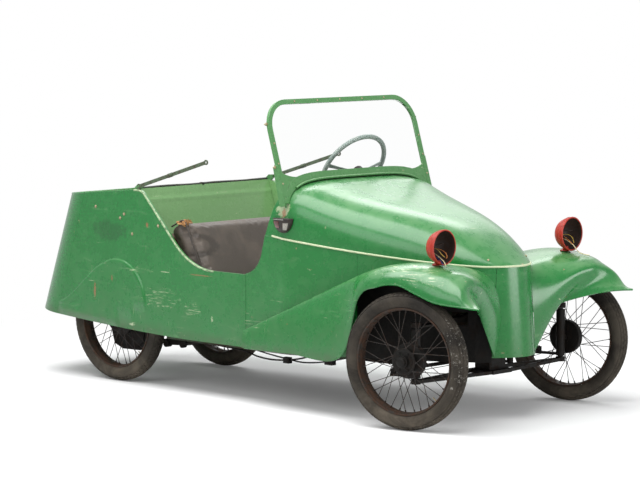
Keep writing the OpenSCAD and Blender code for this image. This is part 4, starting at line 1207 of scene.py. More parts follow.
def make_sides():
    """Nose, scuttle, rear sides and tail, each a skin with an inner face."""
    count, rows = 28, 16
    nose = []
    for i in range(-count, count + 1):
        t, s = (abs(i) / count) ** 1.6, -1 if i < 0 else 1
        xb, xt = lerp(NOSE_FOOT, NOSE + LINE, t), lerp(NOSE_TOP, NOSE + LINE, t)
        a = np.array([xb, s * bow(xb, NOSE_FOOT), NOSE_LOW])
        b = np.array([xt, s * bow(xt, NOSE_TOP), BEAD - LINE])
        nose.append([lerp(a, b, r / rows) for r in range(rows + 1)])
    nose = np.array(nose)
    Shell().sheet(nose, toward(nose, WALL * 0.75, (900, 0, 500)), LINED).panel(
        "nose_skin", ("body_green", "well_black"), ["nose_panel"])
    xs = [SEAM + 1.4] + steps(SEAM + 12, COWL - 115, 30) + steps(COWL - 110, WELL - LINE, 40)
    scuttle = wall_grid(xs, lambda x: SILL, lambda x: min(cut_front(x), bead(x) - LINE), 20)
    walls = (("scuttle", scuttle, toward(scuttle, WALL, (300, 0, 500))), ("quarter", *quarter_grids()))
    for wall, outer, inner in walls:
        for mirror, tag in SIDES:
            Shell().sheet(outer, inner, LINED, mirror).panel(
                "%s_skin_%s" % (wall, tag), ("body_green", "inner_green_with_painted_light"), ["%s_panel_%s" % (wall, tag)])
    rows = 30
    faces = []
    for d in (0, WALL):
        low, high = tail_plan(0, d), tail_plan(TAIL_LEAN, d)
        faces.append([[lerp(np.array([*a, sill(a[0])]), np.array([*b, rim(b[0])]), r / rows)
                       for r in range(rows + 1)] for a, b in zip(low, high)])
    Shell().sheet(*faces, LINED).panel("tail_skin", ("body_green", "inner_green_with_painted_light"), ["tail_panel"])


ARCH_X, ARCH_Z, ARCH_R = REAR_AXLE + 92, 430.0, 213.0


def arch_line():
    """Outline of the pressed arch round the rear wheel as [x, z], from the tail over to its front foot."""
    rise = [(-1354, 389), (-1300, 401), (-1247, 428), (-1165, 489), (-1084, 551), (-1022, 595)]
    arc = [(ARCH_X + ARCH_R * cosd(q), ARCH_Z + ARCH_R * sind(q))
           for q in range(118, -20, -6)]
    return np.array([bend(rise + arc, t) for t in np.linspace(0, 1, 150)])


def arch_fade(x, z):
    """How much of the pressing is left towards the tail corner and its front foot."""
    tail = ease((x + 1354) / 60)
    return tail * (ease((z - 372) / 70) if x > ARCH_X + 120 else 1.0)


def arch_depth(line, x, z):
    """How far a point lies inside the pressed arch, in millimetres; negative outside it."""
    d = np.hypot(line[:, 0] - x, line[:, 1] - z)
    i = int(clamp(d.argmin(), 1, len(line) - 2))
    tx, tz = line[i + 1] - line[i - 1]
    inside = (x - line[i, 0]) * tz - (z - line[i, 1]) * tx
    return float(d.min()) if inside > 0 else -float(d.min())


def make_arch():
    """Rounded step along the edge of the pressed arch."""
    top = bpy.context.scene.microcar_sizes.swage_height / MM
    line = arch_line()
    along = np.gradient(line, axis=0)
    along /= np.linalg.norm(along, axis=1, keepdims=True)
    section = [(-9, -0.07), (-6, 0.05), (-3, 0.28), (0, 0.61), (3, 0.87), (6, 0.98), (10, 1.02), (18, 1.0),
               (30, 0.97), (40, 0.88)]
    outer, inner = [], []
    for (x, z), (tx, tz) in zip(line, along):
        fade = arch_fade(x, z)
        rise = [(max(h, 0) * fade + min(h, 0)) * top - LINE * (1 - fade) for _, h in section]
        outer.append([side_point(x + d * tz, z - d * tx, h) for (d, _), h in zip(section, rise)])
        inner.append([side_point(x + d * tz, z - d * tx, -2.0) for d, _ in section])
    for mirror, tag in SIDES:
        Shell().sheet(outer, inner, mirror=mirror).panel("arch_swage_" + tag, ("body_green",), sharp=70)


def quarter_grids():
    """Outer and inner face of the rear side, up to the tail's first edge."""
    height = bpy.context.scene.microcar_sizes.swage_height / MM * 0.94
    cut = cut_rear()[::-1]
    cx, cz = [p[0] for p in cut], [p[1] for p in cut]
    line = arch_line()
    back = TAIL_ROUND * math.sin(TAPER)
    foot, head = (COWL + (TAIL_CORNER + lift - back - COWL) / math.cos(TAPER) + 0.3
                  for lift in (0, TAIL_LEAN))

    def top(x):
        return rim(x) if x <= cx[0] else float(np.interp(x, cx, cz))

    cols, rows = 150, 70
    outer, inner = [], []
    for i in range(cols + 1):
        xb = lerp(foot, SEAM - 1.4, i / cols)
        xt = lerp(head, SEAM - 1.4, i / cols)
        a, b = np.array([xb, sill(xb)]), np.array([xt, top(xt)])
        line_o, line_i = [], []
        for r in range(rows + 1):
            x, z = lerp(a, b, r / rows)
            out = 0
            if z < 680:
                out = height * ease((arch_depth(line, x, z) - 8) / 14) * ease((z - sill(x)) / 40 + 0.2)
            out *= arch_fade(x, z)
            if x > ARCH_X and z < ARCH_Z:
                out *= ease((z - sill(x) - 10) / 110)
            line_o.append(side_point(x, z, out))
            line_i.append(side_point(x, z, -WALL))
        outer.append(line_o)
        inner.append(line_i)
    return np.array(outer), np.array(inner)


def side_point(x, z, out=0.0):
    """Point on the flat left side, or that far outside it."""
    c, s = math.cos(TAPER), math.sin(TAPER)
    return np.array([COWL + (x - COWL) * c - out * s, COWL_HALF + (x - COWL) * s + out * c, z])


def make_well_sides():
    """Body green on the side walls that show above the fenders."""
    top = [fender_at(t, 0) for t in steps(0.22, 1, 60)]
    top.sort(key=lambda p: p[0])
    grid = []
    for x in steps(WELL + LINE, NOSE - LINE, 44):
        low = float(np.interp(x, [p[0] for p in top], [p[2] for p in top])) - 14
        high = bead(x) - LINE
        low = min(low, high - 8)
        grid.append([(x, body_y(x, z) + 0.7, z) for z in steps(low, high, 8)])
    outer = np.array(grid)
    for mirror, tag in SIDES:
        Shell().sheet(outer, outer - np.array([0, 1.6, 0]), mirror=mirror).panel(
            "well_side_" + tag, ("body_green",))


def make_edges():
    """Rolled edges of the cut-outs and the tail, and the raised line along the bonnet."""
    sizes = bpy.context.scene.microcar_sizes
    r = sizes.edge_radius / MM
    rear = [side_point(x, z - r * 0.6, -r * 0.55) for x, z in cut_rear()[::-1]]
    fore = [(x, side_y(x) - r * 0.55, min(cut_front(x), bead(x) - 6) - r * 0.2)
            for x in [SEAM + LINE] + steps(SEAM + 12, COWL - 96, 40)]
    for mirror, tag in SIDES:
        shell = Shell().tube(rear, r, 10, mirror=mirror).tube(fore, r * 0.8, 10, 1, mirror=mirror)
        shell.panel("cutout_edge_" + tag, ("rolled_edge", "body_green"))
    back = [side_point(x, rim(x) - 2, -4) for x in steps(BULKHEAD - 24, TAIL_CORNER + TAIL_LEAN + 6, 20)]
    rim_line = back + [(x, y, rim(x) - 2) for x, y in tail_plan(TAIL_LEAN, 3)[1:-1]]
    rim_line += [p * np.array([1, -1, 1]) for p in back[::-1]]
    Shell().tube(rim_line, r * 0.9, 10).panel("tail_rim_edge", ("body_green",))
    last = NOSE_TOP - 60
    line = []
    for x in steps(COWL - 74, last, 60) + [last + 60 * sind(q) for q in (12, 24, 36, 48, 58, 66, 73, 79, 84)]:
        y = side_y(x) if x < COWL else bow(x, NOSE_TOP)
        line.append((x, y + 0.4, bead(x) - 0.5))
    line = line + [(NOSE_TOP + 0.4, 0, bead(NOSE_TOP) - 0.5)] + [(x, -y, z) for x, y, z in line[::-1]]
    Shell().tube(line, sizes.bead_radius / MM, 8).panel("bonnet_bead", ("bead_cream",))


def make_fenders():
    rows, cols = 110, 44
    outer = np.array([[fender_at(i / rows, j / cols) for j in range(cols + 1)] for i in range(rows + 1)])
    inner = outer + grid_normals(outer) * SHEET
    for p in inner.reshape(-1, 3):
        p[1] = max(p[1], fender_seat(p[0], p[2]))
    lip = [lerp(outer[i, cols], inner[i, cols], 0.5) for i in range(1, rows)]
    for mirror, tag in SIDES:
        shell = Shell().sheet(outer, inner, LINED, mirror).tube(lip, 5.0, 8, mirror=mirror)
        shell.panel("fender_skin_" + tag, ("fender_green", "well_black"), ["fender_" + tag])


def make_inside():
    """Deck, bulkhead with its pressed line and dark top strip, dashboard, firewall, floor and wells."""
    dressed("rear_deck", "body_green", "rear_deck_skin", round_off=0.002)
    w = side_y(BULKHEAD) - WALL - 0.9
    c, s = cosd(BULKHEAD_LEAN), sind(BULKHEAD_LEAN)
    height = (RIM - FLOOR_TOP + 18) / c
    rows, cols, fold = 80, 40, 62
    faces = []
    for t in (16, 0):
        g = []
        for i in range(cols + 1):
            line = []
            for r in range(rows + 1):
                h = height * r / rows
                y = lerp(-w, w, i / cols) * (1 + 5 / w * r / rows)
                d = t + (4.5 * math.exp(-((h - fold) / 7) ** 2) + 1.5 * ease((h - fold) / 12) if t else 0)
                line.append((BULKHEAD - 8 + d * c + h * s, y, RIM + d * s - h * c))
            g.append(line)
        faces.append(g)
    Shell().sheet(*faces).panel("bulkhead_skin", ("inner_green_with_painted_light",), ["rear_bulkhead"])
    strip = Shell()
    strip.tube([(BULKHEAD - 2, y, RIM + 6 + 1.2 * math.sin(y / 60)) for y in steps(-w + 6, w - 6, 60)], 9, 12,
               flat=0.85)
    strip.block((BULKHEAD - 12, -24, RIM + 2), (BULKHEAD + 10, -10, RIM + 14))
    strip.piece("bulkhead_top_strip", ("strip_dark",), "car_body", "black_paint")
    dressed("dashboard", "screen_green", "dashboard_panel", round_off=0.002)
    for name, finish, slot in (("firewall", "floor_green", "floor_paint"),
                               ("floor_pan", "floor_green", "floor_paint"),
                               ("wheel_wells", "well_black", "black_paint"),
                               ("seat_frame", "seat_wood", "seat_wood")):
        dressed(name, finish, name + "_skin")


def screen_point(y, up, out=0.0):
    """Point of the leaning windscreen plane, or that far in front of it."""
    lean = math.radians(SCREEN_LEAN)
    return np.array([SCREEN_X - up * math.sin(lean) + out * math.cos(lean), y,
                     SCREEN_Z + up * math.cos(lean) + out * math.sin(lean)])


def bonnet_line():
    """Where the bonnet meets the windscreen plane, as [sideways, up the plane]."""
    line = []
    for q in steps(6, 174, 84):
        low, high = 0.0, 0.5
        for _ in range(24):
            m = (low + high) / 2
            x, y, z = dome(m, q, 0)
            past = x - SCREEN_X + (z - SCREEN_Z) * math.tan(math.radians(SCREEN_LEAN)) > 0
            low, high = (low, m) if past else (m, high)
        x, y, z = dome((low + high) / 2, q, 0)
        line.append((y, (z - SCREEN_Z) / cosd(SCREEN_LEAN)))
    return sorted(line)


def make_screen():
    """Windscreen frame, a dark rubber tube along its foot that also stands for the shade in the gap above the
    bonnet, foot strip and lower corner plates, and the finish of the pane.
    """
    dressed("windscreen_frame", "screen_green", "windscreen_surround", round_off=0.0035)
    line = bonnet_line()
    inner = [(y, h) for y, h in line if abs(y) < 470]
    # Dark tube along the screen's foot: partly a rubber seal, partly painted shade standing for the shadowed
    # gap between the rail and the bonnet
    gap_shade_seal = Shell().tube([screen_point(y, h + 4.5, 1) for y, h in inner], 6.5, 10)
    gap_shade_seal.piece("windscreen_rubber_and_gap_shade", ("strip_dark",), "car_body", "black_paint")
    strip = Shell().tube([screen_point(y, h + 7, 12) for y, h in inner if abs(y) < 455], 6, 10)
    strip.panel("windscreen_foot_strip", ("screen_green",))
    ys, hs = zip(*line)
    foot = float(np.interp(410, ys, hs)) + 46
    faces = []
    for out in (6.5, -6.5):
        g = []
        for y in steps(400, 540, 24):
            low = float(np.interp(y, ys, hs)) + 44 + 22 * (2 * y / SCREEN_W) ** 4
            high = foot + 36 * clamp((y - 410) / 130, 0, 1) ** 2.4
            g.append([screen_point(y, lerp(low - 5, high, r / 4), out) for r in range(5)])
        faces.append(g)
    corners = Shell().sheet(*faces).sheet(*faces, mirror=True)
    corners.panel("windscreen_corners", ("screen_green",), round_off=0.002)
    pane = frame["nodes"]["windscreen_glass"]
    pane.data.materials.clear()
    pane.data.materials.append(FINISH["clear_pane"])


def axis_place(at, direction, spin=0.0):
    """Place whose upright axis runs along a direction."""
    d = unit(direction)
    m = turn("Z", math.degrees(math.atan2(d[1], d[0]))) @ turn("Y", math.degrees(math.acos(d[2])))
    return move(*at) @ m @ turn("Z", spin)


def make_headlamps():
    """Empty headlamp shells: red bowl with a beaded ring, dark inside, bulb holder and foot."""
    def bowl(r, start, end, n):
        return [(r * sind(q), -r * cosd(q) - LAMP_BARREL) for q in np.linspace(start, end, n)]

    r, hollow, around = LAMP_R, LAMP_R - 3, 72
    outer = bowl(r, 0, 76, 26)
    ring = [(r * 0.985, -27), (r + 0.6, -24), (r + 1.8, -21.5), (r + 0.2, -19), (r + 0.2, -16),
            (r + 2.2, -13.5), (r + 0.4, -11), (r + 0.4, -8.5), (r + 3.2, -7.5), (r + 4, -5), (r + 4, -2),
            (r + 2.4, -0.3), (r - 1.5, 0)]
    inner = [(hollow, -2), (hollow, -LAMP_BARREL)] + bowl(hollow, 84, 0, 22)
    neck = 7 + LAMP_FOOT - r * math.sqrt(1 - (32 / r) ** 2)
    foot = [(0, 0), (27, 0), (26.5, 2.5), (24, 4.5), (18, 8), (14.5, 12), (12.6, 17), (12, 20),
            (12, neck - 3), (14, neck + 1), (14, neck + 3), (0, neck + 3)]
    holder = [(0, 0), (17, 0), (17, 5), (12, 7), (11, 16), (6, 17), (0, 17)]
    loop = [(-66, -16, 6), (-40, -20, 14), (-16, -8, 16), (-14, 16, 14), (-30, 22, 2)]
    at, place = move(*LAMP), turn("Y", 90)
    shell = Shell()
    for mirror in (False, True):
        start = len(shell.faces) + around * (len(outer) + len(ring))
        shell.lathe(outer + ring + inner, around, 0, at @ place, mirror)
        shell.finish[start:] = [1] * (len(shell.faces) - start)
        shell.lathe(foot, 40, 0, at @ move(-42, 0, -LAMP_FOOT), mirror)
        shell.lathe(holder, 24, 1, at @ move(-84.5, 0, 0) @ place, mirror)
        shell.tube(loop, 1.6, 8, 1, at, mirror)
    shell.piece("headlamp_shells", ("lamp_red", "lamp_inside"), "car_body", "red_paint", ["headlamps"],
                sharp=45)


def side_lamp_place():
    low, high = np.array(dome(0.046, 2, 0)), np.array(dome(0.046, 10, 0))
    tilt = math.degrees(math.atan((low[1] - high[1]) / (high[2] - low[2])))
    return move(*(low + np.array([0, 0.6, 0]))) @ turn("Z", -4) @ turn("X", tilt)


def make_side_lamps():
    """Bowl-shaped side lamps: dark body, a bright metal strip under the top edge that is partly chrome trim
    and partly a painted highlight, red glass behind and white glass in front.
    """
    place = side_lamp_place() @ move(6, 0, -22)
    tall, wide, deep = 72.0, 58.0, 36.0

    def bowl(a, s, proud=0.0):
        """Point of the bowl: a from its rear end round to its front end in degrees, s up from its foot."""
        k = math.sin(math.pi / 2 * clamp(s, 0, 1)) ** 0.42
        return ((wide * k + proud) * sind(a), 0.4 + (deep * k + proud) * max(cosd(a), 0.0) ** 0.8, tall * s)

    def pane(angles, heights):
        return [np.array([[bowl(a, s, d) for s in steps(*heights, 8)] for a in steps(*angles, 14)])
                for d in (1.6, -2.0)]

    shell = Shell()
    for mirror in (False, True):
        outer = np.array([[bowl(a, s) for s in steps(0.02, 1, 16)] for a in steps(-90, 90, 40)])
        inner = outer * np.array([0.9, 0.0, 1]) + np.array([0, 0.4, 0])
        base = len(shell.points)
        shell.sheet(outer, inner, (0, 0, 0))
        for glass, finish in ((pane((-56, -6), (0.34, 0.78)), 2), (pane((20, 52), (0.22, 0.68)), 3)):
            shell.sheet(glass[0], glass[1], (finish, finish, finish))
        rim_line = [np.array(bowl(a, 0.955, 0.6)) for a in steps(-84, 84, 40)]
        shell.tube(rim_line, 2.6, 8, 0)
        # Bright strip laid only along the stretch of the lamp's top that catches the light: partly chrome
        # trim, partly a painted highlight
        shell.tube([np.array(bowl(a, 0.90, 0.4)) for a in steps(-52, 22, 26)], 1.5, 8, 1)
        moved = on(place, shell.points[base:])
        shell.points[base:] = (moved * np.array([1, -1 if mirror else 1, 1])).tolist()
    shell.piece("side_lamp_pair", ("side_lamp_body", "bright_metal_highlight", "red_lens", "white_lens"), "car_body",
                "lamp_metal", ["side_lamps"])


def wheel_places():
    upright = turn("X", -90)
    front = turn("Z", PARKED)
    flip = np.diag([1.0, -1.0, 1.0, 1.0])
    return {
        "front_left": (move(FRONT_AXLE, KINGPIN_Y, 0) @ front @ move(0, KINGPIN_OFFSET, WHEEL_R) @ upright,
                       "wheel_fl"),
        "front_right": (move(FRONT_AXLE, -KINGPIN_Y, 0) @ front @ move(0, -KINGPIN_OFFSET, WHEEL_R) @ flip
                        @ upright, "wheel_fr"),
        "rear_left": (move(REAR_AXLE, REAR_TRACK / 2, WHEEL_R) @ upright, "wheel_rl"),
        "rear_right": (flip @ move(REAR_AXLE, REAR_TRACK / 2, WHEEL_R) @ upright, "wheel_rr"),
    }


def on(place, points):
    return np.asarray(points, float) @ place[:3, :3].T + place[:3, 3]


WALL_RIBS = ((64, 3.0, 1.3), (75, 2.2, 0.8), (118, 3.5, 1.6), (140, 3.0, 1.2))
TREAD_ROWS = (-42, -21, 0, 21, 42)


def make_tyres():
    """Tyres with ribbed walls, and tread blocks in rows at these degrees over the crown."""
    sizes = bpy.context.scene.microcar_sizes
    depth = sizes.tread_depth / MM
    mid, half = WHEEL_R - TYRE_W / 2, TYRE_W / 2
    for tag, (place, body) in wheel_places().items():
        profile = []
        for q in np.linspace(-158, 158, 110):
            a = math.radians(q)
            r = half - (depth if abs(q) < 52 else depth * ease((60 - abs(q)) / 8))
            for centre, width, tall in WALL_RIBS:
                r += tall * math.exp(-((abs(q) - centre) / width) ** 2)
            r = min(r, half)
            rad, h = mid + r * math.cos(a), r * math.sin(a)
            profile.append((max(rad, RIM_D / 2 + 0.2), h))
        keep = [p for i, p in enumerate(profile) if i == 0 or p != profile[i - 1]]
        shell = Shell().lathe(keep, 160, 0, place)
        obj = shell.piece("tyre_casing_" + tag, ("tyre_rubber",), body, "tyre_rubber", ["tyre_" + tag],
                          sharp=60)
        points, aims, rolls = [], [], []
        count = sizes.tread_blocks
        for row, q in enumerate(TREAD_ROWS):
            a = math.radians(q)
            for i in range(count):
                t = 2 * math.pi * (i + 0.5 * (row % 2)) / count
                n = np.array([math.cos(a) * math.cos(t), math.cos(a) * math.sin(t), math.sin(a)])
                c = np.array([mid * math.cos(t), mid * math.sin(t), 0]) + n * (half - 2.4)
                points.append(on(place, c))
                aims.append(place[:3, :3] @ n)
                rolls.append(place[:3, :3] @ np.array([-math.sin(t), math.cos(t), 0]))
        size = {"Length": 2 * math.pi * WHEEL_R / count * 0.76 * MM, "Width": 0.0118, "Height": 0.0046,
                "Finish": FINISH["tyre_rubber"]}
        merge_into(obj, grow("tread_" + tag, tread_tree, points, [], size, {"aim": aims, "roll": rolls}))


NUT_RING = 43.0


def make_wheels():
    """Rims, hubs with their drums and nuts, valves, and crossed wire spokes."""
    sizes = bpy.context.scene.microcar_sizes
    r, w, f, d = RIM_D / 2, RIM_W / 2, FLANGE_D / 2, DRUM_D / 2
    rim_line = [(r - 0.4, -w), (r - 0.2, -w + 5), (r - 4, -w + 8), (r - 6.5, -20), (r - 7, -14), (r - 9, -9),
                (r - 9, 9), (r - 7, 14), (r - 6.5, 20), (r - 4, w - 8), (r - 0.2, w - 5), (r - 0.4, w),
                (r - 4, w + 0.6), (r - 8.5, w - 1.5), (r - 9.5, w - 6), (r - 9, 22), (r - 11.5, 15),
                (r - 13.5, 9), (r - 14.2, 0), (r - 13.5, -9), (r - 11.5, -15), (r - 9, -22),
                (r - 9.5, -w + 6), (r - 8.5, -w + 1.5), (r - 4, -w - 0.6)]
    hub = [(0, -46), (29, -46), (29, -44.5), (d - 3, -44.5), (d, -42), (d, -37), (d + 1.5, -36),
           (d + 1.5, -33), (d, -32), (d, -26), (d + 1.5, -25), (d + 1.5, -22), (d, -21), (d, -11),
           (d - 4, -8.5), (34, -8), (29, -4), (28, 12), (30, 22), (f - 4, 23), (f, 24.5), (f, 29),
           (f - 3, 30.5), (f - 9, 31), (f - 14, 28.5), (f - 20, 28), (31, 29), (29, 33), (29, 45.5),
           (26, 46.5), (22.5, 47), (22, 56), (19, 58), (10, 59.5), (0, 60)]
    nut = [(0, 0), (5, 0), (5, 5), (0, 5)]
    valve = on(turn("Z", 47), [(r - 11, 0, 4), (r - 24, 0, 6), (r - 38, 0, 8)])
    for tag, (place, body) in wheel_places().items():
        shell = Shell().lathe(rim_line, 120, 0, place).lathe(hub, 64, 1, place)
        for q in range(0, 360, 60):
            shell.lathe(nut, 6, 1, place @ move(NUT_RING * cosd(q), NUT_RING * sind(q), 28) @ turn("Z", q))
        shell.tube(valve, [3.2, 3.0, 2.2], 8, 2, place)
        obj = shell.piece("wire_wheel_" + tag, ("rim_rust", "drum_black", "stud_metal"), body, "rusty_rim",
                          ["wheel_" + tag])
        points, edges = [], []
        for i in range(SPOKES):
            s, a = i % 2, 360 * i / SPOKES
            b = a + (1 if i % 4 < 2 else -1) * (40 if s else 30)
            r0, z0 = (FLANGE_D if s else DRUM_D) / 2 - 5, 27 if s else -12
            ends = [(r0 * cosd(b), r0 * sind(b), z0),
                    ((r - 14) * cosd(a), (r - 14) * sind(a), 6 if s else -6)]
            edges.append((len(points), len(points) + 1))
            points += list(on(place, ends))
        merge_into(obj, grow("spokes_" + tag, spoke_tree, points, edges,
                             {"Radius": sizes.spoke_radius, "Nipple Radius": 0.0034, "Nipple Length": 0.022,
                              "Finish": FINISH["spoke_wire"]}))


def make_steering():
    """Steering wheel with its three arms, hub and column."""
    column = COLUMN_END - HELM
    place = axis_place(HELM, column)
    big, dish, reach = 189.0, 46.0, np.linalg.norm(column)
    ring = [(big + 12.6 * cosd(q), 11.4 * sind(q)) for q in range(0, 360, 15)]
    shell = Shell().lathe(ring, 128, 0, place)
    outline = [(18, -9), (60, -7), (120, -7.5), (big - 4, -11), (big - 4, 11), (120, 7.5), (60, 7), (18, 9)]
    arm = [(x, y, z + dish * (1 - (x - 18) / (big - 22))) for z in (-3, 3) for x, y in outline]
    for a in (0, 96, 264):
        shell.add(arm, bar_faces(2, len(outline)), 0, place @ turn("Z", a))
    hub = [(0, -24), (14, -24), (20, -22), (27, -19), (31, -14), (32, -4), (32, 16), (29, 21), (16, 22)]
    boss = [(0, -28), (10, -27.5), (15, -25.5), (16, -23), (0, -23)]
    shell.lathe([(r, h + dish) for r, h in hub] + [(16, reach), (0, reach)], 48, 1, place)
    shell.lathe([(r, h + dish) for r, h in boss], 32, 2, place)
    shell.piece("steering_helm", ("helm_grey", "frame_steel", "drum_black"), "helm", "helm_grey",
                ["steering_wheel"], round_off=0.0012)


def make_underside():
    """Frame, axles, knuckles, rods and engine in dark steel, and the folding top's struts."""
    for name in ("chassis_frame", "front_axle", "front_spring", "rear_axle", "knuckle_left", "knuckle_right",
                 "tie_rod", "pitman_arm", "steering_box", "engine_block"):
        dressed(name, "frame_steel", name + "_steel")
    for side in ("left", "right"):
        dressed("hood_iron_" + side, "iron_steel", "hood_strut_" + side, round_off=0.0012)
    dressed("hood_brackets", "screen_green", "hood_strut_brackets", round_off=0.001)


def make_running_gear():
    """Final drive case, trailing links and brake rods that show below the sills, and the struts' collars."""
    outline = np.array([(-1096, 350), (-1112, 250), (-1086, 172), (-1030, 150), (-900, 152), (-850, 190),
                        (-826, 350)])
    mid = outline.mean(axis=0)
    case, links, rods = Shell(), Shell(), Shell()
    for y0, y1, grown in ((-300, -214, 1.0), (-306, -300, 0.86), (-214, -206, 0.86)):
        ring = mid + (outline - mid) * grown
        case.add([(x, y, z) for y in (y0, y1) for x, z in ring], bar_faces(2, len(outline)))
    link = [(-930, 292, 262), (-700, 290, 208), (-560, 286, 216), (-430, 270, 238)]
    sag = [(-430, 268, 226), (-170, 282, 214), (-60, 292, 196), (40, 296, 189), (150, 296, 196),
           (250, 288, 214), (330, 276, 240)]
    second = [(-170, 260, 232), (0, 276, 212), (150, 290, 200), (260, 296, 194), (380, 290, 206),
              (520, 270, 236)]
    across = turn("X", 90)
    for mirror in (False, True):
        links.tube(link, 11, 12, mirror=mirror)
        for at, r, h in (((-700, 290, 206), 19, 17), ((-590, 288, 206), 15, 14)):
            links.lathe([(0, -h), (r, -h), (r, h), (0, h)], 20, 0, move(*at) @ across, mirror)
        links.block((-720, 278, 208), (-560, 300, 228), mirror=mirror)
        for route, r in ((sag, 4.5), (second, 4)):
            rods.tube([bend(route, t) for t in np.linspace(0, 1, 40)], r, 8, mirror=mirror)
        rods.block((128, 280, 180), (168, 306, 210), mirror=mirror)
        rods.block((400, 270, 196), (452, 300, 222), mirror=mirror)
    for shell, name, soft in ((case, "final_drive_case", 0.006), (links, "trailing_links", 0.0015),
                              (rods, "brake_rods", 0.0012)):
        shell.piece(name, ("frame_steel",), "car_body", "dark_steel", round_off=soft)
    c, s = cosd(STRUT_LIFT), sind(STRUT_LIFT)
    for side, tag, body in ((1, "left", "iron_l"), (-1, "right", "iron_r")):
        y = side * (side_y(BULKHEAD) - 3.5)
        collar = Shell()
        for low, high, r in ((210, 262, 8.5), (222, 250, 11)):
            collar.tube([(-700 + d * c, y, 1026 + d * s) for d in (low, (low + high) / 2, high)], r, 16)
        collar.piece("hood_strut_collar_" + tag, ("iron_steel",), body, "iron_steel")


def make_fasteners():
    """Press studs of the folding top, screws of the windscreen and the bonnet."""
    sizes = bpy.context.scene.microcar_sizes
    spots = [(-1035, 906), (-813, 879), (-844, 857), (-552, 834), (-751, 781)]
    points = [side_point(x, z, LINE) * np.array([1, side, 1]) for side in (1, -1) for x, z in spots]
    aims = [(-math.sin(TAPER), side * math.cos(TAPER), 0) for side in (1, -1) for _ in spots]
    studs("press_studs", points, aims, sizes.stud_radius, sizes.stud_radius * 0.9)
    top = (SCREEN_TOP - SCREEN_Z) / cosd(SCREEN_LEAN) - 12
    places = [(y, top) for y in (-330, -165, 0, 165, 330)]
    places += [(s * 534, up) for s in (1, -1) for up in (90, 190, 290)]
    places += [(s * y, up) for s in (1, -1) for y, up in ((430, 26), (505, -20))]
    face = (cosd(SCREEN_LEAN), 0, sind(SCREEN_LEAN))
    points = [screen_point(y, up, 8) for y, up in places]
    studs("screen_screws", points, [face] * len(points), 0.0042, 0.003, 1.2)
    points = [screen_point(s * y, up, -6) for s in (1, -1) for y, up in ((550, 176), (546, 390))]
    studs("screen_wing_studs", points, [(0, s, 0) for s in (1, 1, -1, -1)], 0.0055, 0.016, 1.5)
    points = [dome(0.93, 80, -1), dome(0.72, 38, 0), dome(0.72, 142, 0)]
    aims = [(0.9, 0, 0.4), (0.3, 0.5, 0.8), (0.3, -0.5, 0.8)]
    studs("bonnet_screws", points, aims, 0.0055, 0.0045, 1.2)


PAD_SHRINK, PAD_VOXEL, CLOTH_STEPS = 0.011, 0.0085, 20


def stuffed(name, source):
    """Seat pad: the plain solid drawn in, remeshed, and blown up as cloth."""
    sizes = bpy.context.scene.microcar_sizes
    material = FINISH["seat_cover"]
    mesh = frame["nodes"][source].data.copy()
    bm = bmesh.new()
    bm.from_mesh(mesh)
    bmesh.ops.remove_doubles(bm, verts=bm.verts, dist=MERGE)
    bm.normal_update()
    for v in bm.verts:
        v.co -= v.normal * PAD_SHRINK
    bm.to_mesh(mesh)
    bm.free()
    mesh.materials.clear()
    mesh.materials.append(material)
    obj = placed(name, mesh)
    voxel = obj.modifiers.new("voxel", "REMESH")
    voxel.mode, voxel.voxel_size = "VOXEL", PAD_VOXEL
    voxel.use_smooth_shade = True
    bake(obj)
    rest = np.array([v.co for v in obj.data.vertices])
    cloth = obj.modifiers.new("stuffing", "CLOTH").settings
    cloth.quality, cloth.mass = 4, 0.35
    cloth.tension_stiffness, cloth.compression_stiffness, cloth.bending_stiffness = 14, 12, 3
    cloth.use_pressure = True
    cloth.uniform_pressure_force = sizes.pressure
    cloth.effector_weights.gravity = 0
    for f in range(1, CLOTH_STEPS + 1):
        bpy.context.scene.frame_set(f)
    bake(obj)
    bpy.context.scene.frame_set(1)
    shape = np.array([v.co for v in obj.data.vertices])
    step = shape - rest
    far = np.linalg.norm(step, axis=1, keepdims=True)
    shape = rest + step * np.minimum(1, sizes.puff / np.maximum(far, 1e-9))
    obj.data.vertices.foreach_set("co", shape.astype(np.float32).ravel())
    obj.data.update()
    obj.data.materials.clear()
    obj.data.materials.append(material)
    obj.data.shade_smooth()
    soft = obj.modifiers.new("soft", "SUBSURF")
    soft.levels = soft.render_levels = 1
    bake(obj)
    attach(obj, "car_body")
    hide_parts(source)


def bake(obj):
    """Turns an object's modifiers into its mesh."""
    bpy.context.view_layer.update()
    made = bpy.data.meshes.new_from_object(obj.evaluated_get(bpy.context.evaluated_depsgraph_get()))
    obj.modifiers.clear()
    obj.data = made


def back_point(u, v, y):
    """Point of the seat back: u out of its face, v up it."""
    c, s = cosd(SEAT_LEAN), sind(SEAT_LEAN)
    return np.array([SEAT_X - 40 + u * c - v * s, y, FLOOR_TOP + 195 + u * s + v * c])


